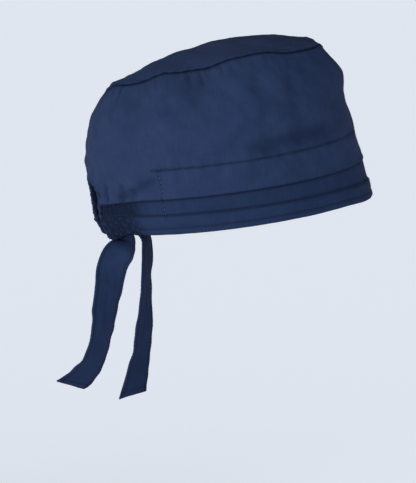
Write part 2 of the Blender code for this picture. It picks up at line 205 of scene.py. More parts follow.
def through(keys: Array, values: Array, at: Array) -> Array:
    """Interpolates values at keys with a cubic that passes through each of them.

    Args:
        keys: Rising keys.
        values: One value for each key.
        at: Keys to read at.

    Returns:
        The value at each key.
    """
    at = np.clip(at, keys[0], keys[-1])
    low = np.clip(np.searchsorted(keys, at, side="right") - 1, 0, len(keys) - 2)
    before = np.maximum(np.arange(len(keys)) - 1, 0)
    after = np.minimum(np.arange(len(keys)) + 1, len(keys) - 1)
    slopes = (values[after] - values[before]) / (keys[after] - keys[before])
    span = keys[low + 1] - keys[low]
    s = (at - keys[low]) / span
    return (
        values[low] * (2 * s**3 - 3 * s**2 + 1)
        + values[low + 1] * (3 * s**2 - 2 * s**3)
        + slopes[low] * span * (s**3 - 2 * s**2 + s)
        + slopes[low + 1] * span * (s**3 - s**2)
    )


def eased(share: Array) -> Array:
    """0 to 1, starting and ending gently."""
    share = np.clip(share, 0.0, 1.0)
    return share * share * (3 - 2 * share)


def bump(distance: Array, reach: float) -> Array:
    """A smooth hill, 1 in its middle."""
    return np.exp(-((distance / reach) ** 2))


def rolled(distance: Array, radius: float) -> Array:
    """How far a turned edge falls away at a distance from its end."""
    inside = np.clip(1 - distance / radius, 0.0, 1.0)
    return radius * (1 - np.sqrt(1 - inside**2))


def graded(count: int, start: float, stop: float, *dense: tuple[float, float, float]) -> Array:
    """Spreads points over a range, closer together at chosen places.

    Args:
        count: How many points.
        start: The first point.
        stop: The last point.
        dense: Each place, how far its closeness reaches, and how much closer the points are.

    Returns:
        The rising points.
    """
    places = np.linspace(start, stop, 8001)
    weight = np.ones_like(places)
    for place, reach, gain in dense:
        weight += gain * bump(places - place, reach)
    total = np.concatenate([[0.0], np.cumsum((weight[1:] + weight[:-1]) / 2)])
    return np.interp(np.linspace(0, total[-1], count), total, places)


class Waves(NamedTuple):
    """Uneven cloth: soft random waves of a depth and of a typical length."""

    depth: float
    wave: float
    seed: int

    def over(self, around: Array, up: Array, period: float) -> Array:
        """Finds the heights of the waves.

        Args:
            around: Place along the cloth.
            up: Place across the cloth.
            period: The length of cloth after which the waves repeat.

        Returns:
            Heights, mostly within the depth.
        """
        draw = np.random.default_rng(self.seed)
        total = np.zeros(np.broadcast(around, up).shape)
        count = 16
        for _ in range(count):
            angle = draw.uniform(0, math.pi)
            length = self.wave * draw.uniform(0.7, 1.6)
            cycles = round(period * math.cos(angle) / length)
            phase = draw.uniform(0, 2 * math.pi)
            place = cycles / period * around + math.sin(angle) / length * up
            total = total + np.cos(2 * math.pi * place + phase)
        return self.depth * (total / math.sqrt(count))


class Ripple(NamedTuple):
    """The uneven ripple beside a row of stitches."""

    depth: float
    pitch: float
    seed: int

    def along(self, place: Array) -> Array:
        """Heights along the row, within the depth."""
        draw = np.random.default_rng(self.seed)
        drift = sum(
            draw.uniform(0.25, 0.6) * np.sin(place / (self.pitch * ratio) + draw.uniform(0, 6.3))
            for ratio in (1.7, 2.9, 4.7)
        )
        slow = np.sin(place / (self.pitch * 2.3) + draw.uniform(0, 6.3))
        quick = np.cos(2 * math.pi * place / self.pitch + drift)
        return self.depth * ((0.65 + 0.35 * slow) * quick)


class Groove(NamedTuple):
    """A groove, or a ridge, that runs beside a line."""

    depth: float
    apart: float
    reach: float

    def across(self, distance: Array) -> Array:
        """How deep it is at distances from the line."""
        return self.depth * bump(distance - self.apart, self.reach)


class Ramp(NamedTuple):
    """A smooth rise from 0 to 1, from a start on over a run that may be negative."""

    start: float
    run: float

    def at(self, place: Array) -> Array:
        """The ramp's height at each place."""
        return eased((place - self.start) / self.run)


def unit(vectors: Array) -> Array:
    """The vectors at length 1."""
    return vectors / np.linalg.norm(vectors, axis=-1, keepdims=True)


def level(points: Array) -> Array:
    """The horizontal direction out from the cap's axis to each point."""
    flat = points.copy()
    flat[..., 2] = 0
    return unit(flat)


def apart(degrees: Array, direction: float) -> Array:
    """How far directions lie from one, the shorter way, in degrees."""
    return (degrees - direction + TURN / 2) % TURN - TURN / 2


def run_along(points: Array) -> Array:
    """The length along each line of points, from its start to each point."""
    steps = np.linalg.norm(np.diff(points, axis=0), axis=-1)
    return np.concatenate([np.zeros((1, *steps.shape[1:])), np.cumsum(steps, axis=0)])


# --------------------------------------------------------------------------- the cap's surfaces


@dataclass(frozen=True)
class CapForm:
    """The cap's sizes and the smooth surfaces its cloth lies on, as the CAD model has them."""

    rim_length: float = 0.216
    rim_width: float = 0.170
    tilt_deg: float = 7.2
    band_height: float = 0.028
    band_thickness: float = 0.0018
    band_inset: float = 0.0005
    ruche_length: float = 0.036
    ruche_droop: float = 0.006
    ruche_flare: float = 0.0022
    crown_length: float = 0.176
    crown_width: float = 0.0925
    crown_setback: float = 0.004
    crown_height: float = 0.134
    crown_bow: float = 0.0074
    crown_egg: float = 0.30
    cloth: float = 0.0012
    seam_wave: float = 0.0030
    fold_depth: float = 0.0030
    gather_length: float = 0.062
    gather_depth: float = 0.0011
    gather_folds: int = 6
    opening_width: float = 0.032
    opening_height: float = 0.042
    vertical_stitch: float = 0.086
    sweat_stitch: float = 0.052
    sweat_start: float = 0.0805
    stitch_foot: float = 0.012
    hem_stitch: float = 0.0049
    seam_droop: float = 0.0042
    droop_length: float = 0.055
    arch_reach: float = 0.0200
    arch_power: float = 2.6
    front_dip: float = 0.0024

    @property
    def laid(self) -> float:
        """The cloth's thickness as laid, a hair under the solid's."""
        return self.cloth - 0.1 * MM

    @cached_property
    def tilt(self) -> Array:
        """Turns a point of the level cap to its place on the head."""
        turned = Matrix.Rotation(-math.radians(self.tilt_deg), 3, "Y")
        return np.array([list(row) for row in turned])

    def placed(self, points: Array) -> Array:
        """The points of the level cap in the world."""
        return points @ self.tilt.T

    def band(self, turn: Array, rise: Array) -> Array:
        """Outside of the plain band at turns and shares of its height."""
        turn, rise = np.broadcast_arrays(turn, rise)
        front = self.rim_length / 2 * read(BAND_SECTIONS, 1, rise)
        side = self.rim_width / 2 * read(BAND_SECTIONS, 2, rise)
        back = self.rim_length / 2 * read(BAND_SECTIONS, 3, rise)
        reach = np.where(np.cos(turn) > 0, front, back)
        return np.stack(
            [reach * np.cos(turn), side * np.sin(turn), rise * self.band_height], axis=-1
        )

    @cached_property
    def arc(self) -> tuple[Array, Array]:
        """Turns from the centre back to the front, with the length of band up to each."""
        turns = math.pi * (1 - np.arange(721) / 720)
        return turns, run_along(self.band(turns, np.ones(721)))

    @property
    def half(self) -> float:
        """The length of band from the centre back to the centre front."""
        return float(self.arc[1][-1])

    @property
    def round(self) -> float:
        """The length of band all round."""
        return 2 * self.half

    def turn(self, around: Array) -> Array:
        """The turn at a length of band, from the centre back by the wearer's right."""
        turns, lengths = self.arc
        near = -np.interp(around, lengths, turns)
        far = np.interp(self.round - around, lengths, turns)
        return np.where(around <= self.half, near, far)

    def from_back(self, around: Array) -> Array:
        """The length of band to the centre back, the shorter way."""
        return np.minimum(around, self.round - around)

    def past_end(self, around: Array) -> Array:
        """The length of band from its end beside the opening."""
        return self.from_back(around) - self.opening_width / 2

    def stations(self, count: int, end: float, reach: float, gain: float) -> Array:
        """Spreads lengths of band, closer together near the opening and the upright stitches.

        Args:
            count: How many.
            end: The first; the last is as far from the centre back on the other side.
            reach: How far the closeness near the opening reaches.
            gain: How much closer they are there.

        Returns:
            The rising lengths.
        """
        last, seam = self.round - end, self.vertical_stitch
        ends = ((end, reach, gain), (last, reach, gain))
        return graded(count, end, last, *ends, (seam, 0.002, 2.0), (self.round - seam, 0.002, 2.0))

    def from_end(self, around: Array) -> Array:
        """The length past the band's end, as shares of the ruching."""
        return self.past_end(around) / self.ruche_length

    def crown(self, along: Array, across: Array) -> Array:
        """Outside of the crown, out to a circle of radius 1 at its seam."""
        out = np.hypot(along, across)
        degrees = np.degrees(np.arctan2(across, along))
        lift = np.zeros_like(out)
        for direction, width, height in SEAM_WAVES:
            lift += height * bump(apart(degrees, direction), width)
        height = (
            self.crown_height * read(RIDGE, 1, along)
            - self.crown_bow * across**2 * (1 + 0.37 * np.minimum(along, 0))
            + self.seam_wave * lift * out**6
        )
        return np.stack(
            [
                self.crown_length / 2 * along - self.crown_setback,
                self.crown_width / 2 * across * (1 + self.crown_egg * along),
                height,
            ],
            axis=-1,
        )

    def seam(self, turn: Array) -> tuple[Array, Array]:
        """The crown's seam and its outward normal there."""
        step = 0.01
        edge = self.crown(np.cos(turn), np.sin(turn))
        inner = self.crown((1 - step) * np.cos(turn), (1 - step) * np.sin(turn))
        beside = self.crown(np.cos(turn + step), np.sin(turn + step))
        return edge, unit(np.cross(edge - inner, beside - edge))

    def lowered(self, around: Array) -> Array:
        """How far the wall's lower edge dips toward the opening."""
        return self.seam_droop * eased(1 - self.past_end(around) / self.droop_length)

    def wall_foot(self, around: Array) -> Array:
        """Height of the wall's lower edge: raised in an arch over the back opening."""
        share = np.clip(self.from_back(around) / self.arch_reach, 0, 1)
        foot = self.band_height - self.lowered(around)
        arch = (1 - share**self.arch_power) ** (1 / self.arch_power)
        return foot + (self.opening_height - foot) * arch

    def wall_ends(self, around: Array) -> tuple[Array, Array]:
        """The wall's lower and upper edge, before the arch is cut."""
        turn = self.turn(around)
        low = self.band(turn, np.ones_like(turn))
        low = low + level(low) * self.band_inset
        edge, normal = self.seam(turn)
        return low, edge - normal * self.laid

    def wall(self, around: Array, height: Array) -> Array:
        """Outside of the wall with its broad folds, at heights over the rim."""
        turn = self.turn(around)
        low, high = self.wall_ends(around)
        rise = (height - low[..., 2]) / (high[..., 2] - low[..., 2])
        lengthwise = np.cos(turn) ** 2
        ends = np.where(
            np.cos(turn) > 0, read(WALL_SECTIONS, 1, rise), read(WALL_SECTIONS, 3, rise)
        )
        inward = lengthwise * ends + (1 - lengthwise) * read(WALL_SECTIONS, 2, rise)
        point = low + (high - low) * inward[..., None]
        point[..., 2] = height
        return point + level(point) * self.wall_folds(around, turn, rise)[..., None]

    def wall_folds(self, around: Array, turn: Array, rise: Array) -> Array:
        """How far the broad folds and the back gathers of the wall stand out."""
        folds = np.zeros_like(rise)
        for direction, at, turn_reach, rise_reach, depth in FOLDS:
            aside = apart(np.degrees(turn), direction)
            folds += depth * bump(aside, turn_reach) * bump(rise - at, rise_reach)
        share = self.past_end(around) / self.gather_length
        fade = eased(share / 0.1) * eased(1.4 * (1 - share))
        ripple = np.cos(2 * math.pi * self.gather_folds * share)
        gathers = fade * ripple * eased(1 - rise / 0.3) * eased(rise / 0.05)
        return self.fold_depth * folds * eased((1 - rise) / 0.12) + self.gather_depth * gathers

    def channel(self, around: Array) -> Array:
        """Height of the stitch line that closes the tie channel in the band."""
        share = self.from_back(around) / self.half
        return (16.8 - 1.6 * eased(share * 1.1) - 1.2 * share) * MM

    def drooped(self, around: Array, rise: Array) -> Array:
        """How far the band's gathered ends, and its front, hang below the rim."""
        ends = self.ruche_droop * eased(1 - 1.4 * self.from_end(around))
        front = self.front_dip * eased((self.from_back(around) - 0.230) / 0.050)
        return (ends + front) * np.clip(1 - rise, 0, 1)

    def flared(self, around: Array, rise: Array) -> Array:
        """How far the band's gathered ends stand out at their lower edge."""
        ends = eased(1 - 1.2 * self.from_end(around))
        return self.ruche_flare * ends * np.clip(1 - rise, 0, 1) ** 1.6

    def worn_band(self, around: Array, rise: Array, depth: Array) -> Array:
        """Places at a depth under the band's outside, with its droop and its flare."""
        points = self.band(self.turn(around), rise)
        away = level(points)
        points[..., 2] -= self.drooped(around, rise)
        return points - away * (depth - self.flared(around, rise))[..., None]


# --------------------------------------------------------------------------- mesh helpers


def cloth_grid(points: Array, flat: Array, shade_marks: Array) -> bmesh.types.BMesh:
    """Makes a grid of cloth and moves it onto its points.

    Args:
        points: Places in the world, as rows by columns by 3.
        flat: Places on the flat cloth in metres, as rows by columns by 2.
        shade_marks: How much painted shade each point takes, 0 to 1, in folds, seams, grooves and
            gathers.

    Returns:
        The grid as an open mesh with a UV map and its painted shade layer.
    """
    rows, columns = points.shape[:2]
    mesh = bmesh.new()
    bmesh.ops.create_grid(mesh, x_segments=columns - 1, y_segments=rows - 1, size=1)
    places = points.reshape(-1, 3)
    weave = flat.reshape(-1, 2)
    # Painted shade: a vertex layer that darkens the cloth's colour in folds, seams, grooves and
    # gathers
    hollow = mesh.verts.layers.float.new("hollow")
    for vert, place, shade_mark in zip(mesh.verts, places.tolist(), shade_marks.reshape(-1).tolist()):
        vert.co = place
        vert[hollow] = shade_mark
    mesh.verts.index_update()
    uv = mesh.loops.layers.uv.new("weave")
    spots = weave.tolist()
    for face in mesh.faces:
        face.smooth = True
        for loop in face.loops:
            loop[uv].uv = spots[loop.vert.index]
    return mesh


def outward(mesh: bmesh.types.BMesh, around: Vector) -> None:
    """Turns an open mesh's faces away from a point inside it."""
    mesh.normal_update()
    facing = sum(
        face.calc_area() * face.normal.dot(face.calc_center_median() - around)
        for face in mesh.faces
    )
    if facing < 0:
        bmesh.ops.reverse_faces(mesh, faces=mesh.faces)


def inside_out_mended(mesh: bmesh.types.BMesh) -> None:
    """Turns a closed mesh's faces outwards."""
    if mesh.calc_volume(signed=True) < 0:
        bmesh.ops.reverse_faces(mesh, faces=mesh.faces)


def ringed(rows: Array) -> Array:
    """The rows with their first column again at the end."""
    return np.concatenate([rows, rows[:, :1]], axis=1)


def tube(points: Array, flat: Array, shade_marks: Array) -> bmesh.types.BMesh:
    """Makes a tube of cloth and closes its ends.

    Args:
        points: Places in the world, a row for each ring, which ends where it starts.
        flat: Places on the flat cloth.
        shade_marks: How much painted shade each point takes, in folds, seams and gathers.

    Returns:
        The closed mesh.
    """
    mesh = cloth_grid(points, flat, shade_marks)
    bmesh.ops.remove_doubles(mesh, verts=mesh.verts, dist=1e-7)
    rims = [edge for edge in mesh.edges if edge.is_boundary]
    bmesh.ops.triangulate(mesh, faces=bmesh.ops.edgeloop_fill(mesh, edges=rims)["faces"])
    inside_out_mended(mesh)
    return mesh


def piece_of(name: str, mesh: bmesh.types.BMesh, material: bpy.types.Material) -> bpy.types.Object:
    """Makes an object of a mesh and links it to the scene.

    Args:
        name: The piece's name.
        mesh: Its mesh, freed here.
        material: What it is made of.

    Returns:
        The piece, at the origin.
    """
    data = bpy.data.meshes.new(name)
    mesh.to_mesh(data)
    mesh.free()
    data.materials.append(material)
    piece = bpy.data.objects.new(name, data)
    bpy.context.scene.collection.objects.link(piece)
    return piece


def thickened(piece: bpy.types.Object, thickness: float) -> bpy.types.Object:
    """Gives an open sheet its cloth, laid on the inside."""
    modifier = piece.modifiers.new("cloth", "SOLIDIFY")
    modifier.thickness = thickness
    modifier.offset = -1
    modifier.use_quality_normals = True
    return piece


def ridden(piece: bpy.types.Object, node: str = "") -> bpy.types.Object:
    """Ties a piece to the frame: its body and the CAD node it stands for.

    Args:
        piece: The piece.
        node: The CAD node that it replaces, if any.

    Returns:
        The piece.
    """
    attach(piece, "root")
    if node:
        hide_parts(node)
    log.info("%s: %d faces", piece.name, len(piece.data.polygons))
    return piece


# --------------------------------------------------------------------------- finishes


@dataclass
class NodeDesk:
    """Lays nodes into a tree and joins them up."""

    tree: bpy.types.NodeTree

    def add(self, kind: str, **settings: object) -> bpy.types.Node:
        """Adds a node and sets its properties."""
        node = self.tree.nodes.new(kind)
        for name, value in settings.items():
            setattr(node, name, value)
        return node

    def join(self, source: Socket, target: Socket) -> None:
        """Links two sockets."""
        self.tree.links.new(source, target)

    def math(self, operation: str, *values: float | Socket) -> Socket:
        """Adds a math node.

        Args:
            operation: What it does.
            values: Numbers or sockets for its inputs, in order.

        Returns:
            Its output.
        """
        node = self.add("ShaderNodeMath", operation=operation)
        for socket, value in zip(node.inputs, values):
            if isinstance(value, (int, float)):
                socket.default_value = value
            else:
                self.join(value, socket)
        return node.outputs[0]

    def noise(self, vector: Socket, scale: float, detail: float = 2.0) -> Socket:
        """Adds a noise texture and returns its factor."""
        node = self.add("ShaderNodeTexNoise")
        self.join(vector, node.inputs["Vector"])
        node.inputs["Scale"].default_value = scale
        node.inputs["Detail"].default_value = detail
        return node.outputs["Fac"]

    def blend(self, share: Socket, first: Colour | Socket, second: Colour) -> Socket:
        """Adds a mix of two colours and returns its result."""
        node = self.add("ShaderNodeMix", data_type="RGBA", clamp_factor=True)
        self.join(share, node.inputs["Factor"])
        if isinstance(first, tuple):
            node.inputs["A"].default_value = (*first, 1)
        else:
            self.join(first, node.inputs["A"])
        node.inputs["B"].default_value = (*second, 1)
        return node.outputs["Result"]

    def emboss(self, height: Socket, surface: bpy.types.Node, strength: float, deep: float) -> None:
        """Gives a surface a fine relief from heights."""
        node = self.add("ShaderNodeBump")
        node.inputs["Strength"].default_value = strength
        node.inputs["Distance"].default_value = deep
        self.join(height, node.inputs["Height"])
        self.join(node.outputs["Normal"], surface.inputs["Normal"])


def node_group(
    name: str,
    inputs: dict[str, str],
    outputs: Sequence[str],
    lay: Callable[[NodeDesk, bpy.types.Node], Sequence[Socket]],
) -> bpy.types.NodeTree:
    """Builds a node group, unless the file has it.

    Args:
        name: The group's name.
        inputs: The kind of each input.
        outputs: Its outputs, all of them numbers.
        lay: Lays the nodes, given the desk and the group's input, and returns what is shown.

    Returns:
        The group.
    """
    if name in bpy.data.node_groups:
        return bpy.data.node_groups[name]
    tree = bpy.data.node_groups.new(name, "ShaderNodeTree")
    for label, kind in inputs.items():
        tree.interface.new_socket(name=label, in_out="INPUT", socket_type="NodeSocket" + kind)
    for label in outputs:
        tree.interface.new_socket(name=label, in_out="OUTPUT", socket_type="NodeSocketFloat")
    desk = NodeDesk(tree)
    given = desk.add("NodeGroupInput")
    shown = desk.add("NodeGroupOutput")
    for label, source in zip(outputs, lay(desk, given)):
        desk.join(source, shown.inputs[label])
    return tree


def started(name: str) -> tuple[bpy.types.Material, NodeDesk, bpy.types.Node]:
    """Starts a material: the material, a desk for its nodes and its surface."""
    made = bpy.data.materials.new(name)
    made.use_nodes = True
    return made, NodeDesk(made.node_tree), made.node_tree.nodes["Principled BSDF"]


def weave_group() -> bpy.types.NodeTree:
    """Builds the plain weave: from a place on the cloth to its threads' heights and tops."""

    def lay(desk: NodeDesk, given: bpy.types.Node) -> Sequence[Socket]:
        """Crosses a wave over the warp with one over the weft."""
        wander = desk.noise(given.outputs["Place"], WANDER_SCALE)
        drift = desk.math("MULTIPLY", desk.math("SUBTRACT", wander, 0.5), 0.9)
        split = desk.add("ShaderNodeSeparateXYZ")
        desk.join(given.outputs["Place"], split.inputs[0])
        waves = []
        for axis in range(2):
            turns = desk.math("DIVIDE", split.outputs[axis], given.outputs["Pitch"])
            half_turns = desk.math("MULTIPLY", desk.math("ADD", turns, drift), math.pi)
            waves.append(desk.math("SINE", half_turns))
        crossing = desk.math("MULTIPLY", *waves)
        return crossing, desk.math("ABSOLUTE", crossing)

    inputs = {"Place": "Vector", "Pitch": "Float"}
    return node_group("plain_weave", inputs, ("Height", "Threads"), lay)


def slub_group() -> bpy.types.NodeTree:
    """Builds the slubs: from a place on the cloth to streaks and blotches, both 0 to 1."""

    def lay(desk: NodeDesk, given: bpy.types.Node) -> Sequence[Socket]:
        """Adds up the streaks along both threads, and makes the blotches."""
        streaks = []
        for scale, strength in (((1.0, 0.06, 1.0), 0.65), ((0.05, 1.0, 1.0), 0.35)):
            stretched = desk.add("ShaderNodeMapping")
            desk.join(given.outputs["Place"], stretched.inputs["Vector"])
            stretched.inputs["Scale"].default_value = scale
            noise = desk.noise(stretched.outputs["Vector"], SLUB_SCALE, 3.0)
            streaks.append(desk.math("MULTIPLY", noise, strength))
        blotches = desk.noise(given.outputs["Place"], BLOTCH_SCALE, 4.0)
        return desk.math("ADD", *streaks), blotches

    return node_group("slub_streaks", {"Place": "Vector"}, ("Streaks", "Blotches"), lay)


@dataclass(frozen=True)
class ClothFinish:
    """Washed navy poplin: a matt plain weave with slubs, its tone varying at random, with painted
    shade in its folds, seams and gathers.
    """

    slot: Slot
    deep: Colour
    pale_tone: Colour
    pitch: float = 0.00034
    weave_depth: float = 0.00005
    slub_depth: float = 0.00003
    slub_tone: tuple[float, float] = (1.7, -0.70)
    blotch_tone: float = 1.0
    thread_tone: float = 0.16
    # Painted shade: how far it pulls the tone deep, the darkest colour as a share of deep, and how
    # far toward it
    painted_shade_tone: float = -0.55
    darkest: float = 0.30
    rough: tuple[float, float] = (0.74, 0.92)
    shadow: float = 0.75
    gloss: float = 0.10

    def material(self) -> bpy.types.Material:
        """Builds the cloth's material.

        Returns:
            The material, read from the piece's own UV map and its painted shade layer.
        """
        made, desk, surface = started(self.slot.value + "_cloth")
        place = desk.add("ShaderNodeUVMap", uv_map="weave").outputs[0]
        # Painted shade: the piece's layer that darkens folds, seams, grooves and gathers
        hollow = desk.add("ShaderNodeAttribute", attribute_name="hollow").outputs["Fac"]
        weave = desk.add("ShaderNodeGroup", node_tree=weave_group())
        desk.join(place, weave.inputs["Place"])
        weave.inputs["Pitch"].default_value = self.pitch
        slubs = desk.add("ShaderNodeGroup", node_tree=slub_group())
        desk.join(place, slubs.inputs["Place"])

        # The tone runs at random with slubs, blotches and threads, and painted shade pulls it deep
        tone = desk.math("MULTIPLY_ADD", slubs.outputs["Streaks"], *self.slub_tone)
        for source, weight in (
            (slubs.outputs["Blotches"], self.blotch_tone),
            (weave.outputs["Threads"], self.thread_tone),
            (hollow, self.painted_shade_tone),
        ):
            tone = desk.math("MULTIPLY_ADD", source, weight, tone)
        colour = desk.blend(tone, self.deep, self.pale_tone)
        # Painted shade: shaded places darken further toward a colour near black
        pressed = tuple(self.darkest * channel for channel in self.deep)
        colour = desk.blend(desk.math("MULTIPLY", hollow, self.shadow), colour, pressed)
        desk.join(colour, surface.inputs["Base Color"])

        matt = desk.add("ShaderNodeMapRange")
        desk.join(slubs.outputs["Blotches"], matt.inputs["Value"])
        matt.inputs["To Min"].default_value, matt.inputs["To Max"].default_value = self.rough
        desk.join(matt.outputs["Result"], surface.inputs["Roughness"])

        height = desk.math("MULTIPLY", weave.outputs["Height"], self.weave_depth)
        height = desk.math("MULTIPLY_ADD", slubs.outputs["Streaks"], self.slub_depth, height)
        desk.emboss(height, surface, 1.0, 1.0)
        surface.inputs["Specular IOR Level"].default_value = self.gloss
        return made


@dataclass(frozen=True)
class ThreadFinish:
    """Twisted sewing thread, a little glossier than the cloth."""

    name: str = "navy_thread"
    deep: Colour = (0.005, 0.009, 0.024)
    light: Colour = (0.017, 0.027, 0.060)
    rough: float = 0.7
    gloss: float = 0.12
    mottle_scale: float = 420.0
    twist_scale: float = 5200.0
    twist_strength: float = 0.5
    twist_depth: float = 0.0001

    def material(self) -> bpy.types.Material:
        """Builds the thread's material, mottled from stitch to stitch."""
        made, desk, surface = started(self.name)
        place = desk.add("ShaderNodeTexCoord").outputs["Object"]
        colour = desk.blend(desk.noise(place, self.mottle_scale), self.deep, self.light)
        desk.join(colour, surface.inputs["Base Color"])
        twist = desk.noise(place, self.twist_scale)
        desk.emboss(twist, surface, self.twist_strength, self.twist_depth)
        surface.inputs["Roughness"].default_value = self.rough
        surface.inputs["Specular IOR Level"].default_value = self.gloss
        return made


# --------------------------------------------------------------------------- crown and wall


@dataclass
class Crown:
    """The domed oval panel on top, its edge turned over the wall."""

    form: CapForm
    lines: int = 121
    edge_radius: float = 0.0010
    seam_reach: float = 0.006
    broad: Waves = Waves(0.00045, 0.034, 11)
    fine: Waves = Waves(0.00012, 0.011, 12)
    pucker: Ripple = Ripple(0.00030, 0.0085, 13)
    lip: Groove = Groove(0.00035, 0.0016, 0.0012)
    # Painted shade along the seam, under the turned edge
    seam_shade: Groove = Groove(0.9, 0.0, 0.0006)

    def build(self, material: bpy.types.Material) -> bpy.types.Object:
        """Makes the crown.

        Args:
            material: Its cloth.

        Returns:
            The crown with its thickness.
        """
        form = self.form
        lines = graded(self.lines, -1, 1, (-1, 0.02, 7), (1, 0.02, 7))
        along, across = np.meshgrid(lines, lines)
        out = np.maximum(np.abs(along), np.abs(across))
        quarter = math.pi / 4
        turn = np.where(
            np.abs(along) >= np.abs(across),
            quarter * (np.where(along >= 0, 0, 4) + across / np.where(along == 0, 1, along)),
            quarter * (np.where(across >= 0, 2, -2) - along / np.where(across == 0, 1, across)),
        )
        along, across = out * np.cos(turn), out * np.sin(turn)
        points = form.crown(along, across)
        step = 0.004
        normal = unit(
            np.cross(
                form.crown(along + step, across) - form.crown(along - step, across),
                form.crown(along, across + step) - form.crown(along, across - step),
            )
        )
        edge = form.crown(np.cos(turn), np.sin(turn))
        distance = np.linalg.norm(edge - points, axis=-1)
        x, y = points[..., 0], points[..., 1]
        relief = self.broad.over(x, y, 0.5) + self.fine.over(x, y, 0.5)
        relief *= eased(distance / self.seam_reach)
        relief += bump(distance, self.seam_reach) * self.pucker.along(self.seam_length(turn))
        relief += self.lip.across(distance) - rolled(distance, self.edge_radius)
        points = points + normal * relief[..., None]
        # Painted shade along the seam
        shade_marks = self.seam_shade.across(distance)
        mesh = cloth_grid(form.placed(points), points[..., :2], shade_marks)
        bmesh.ops.recalc_face_normals(mesh, faces=mesh.faces)
        outward(mesh, Vector((0, 0, 0.05)))
        return thickened(piece_of("crown_cloth", mesh, material), form.laid)

    def seam_length(self, turn: Array) -> Array:
        """Length along the crown seam at each turn."""
        turns = np.linspace(-math.pi, math.pi, TURN_STATIONS)
        wrapped = (turn + math.pi) % (2 * math.pi) - math.pi
        return np.interp(wrapped, turns, run_along(self.form.seam(turns)[0]))


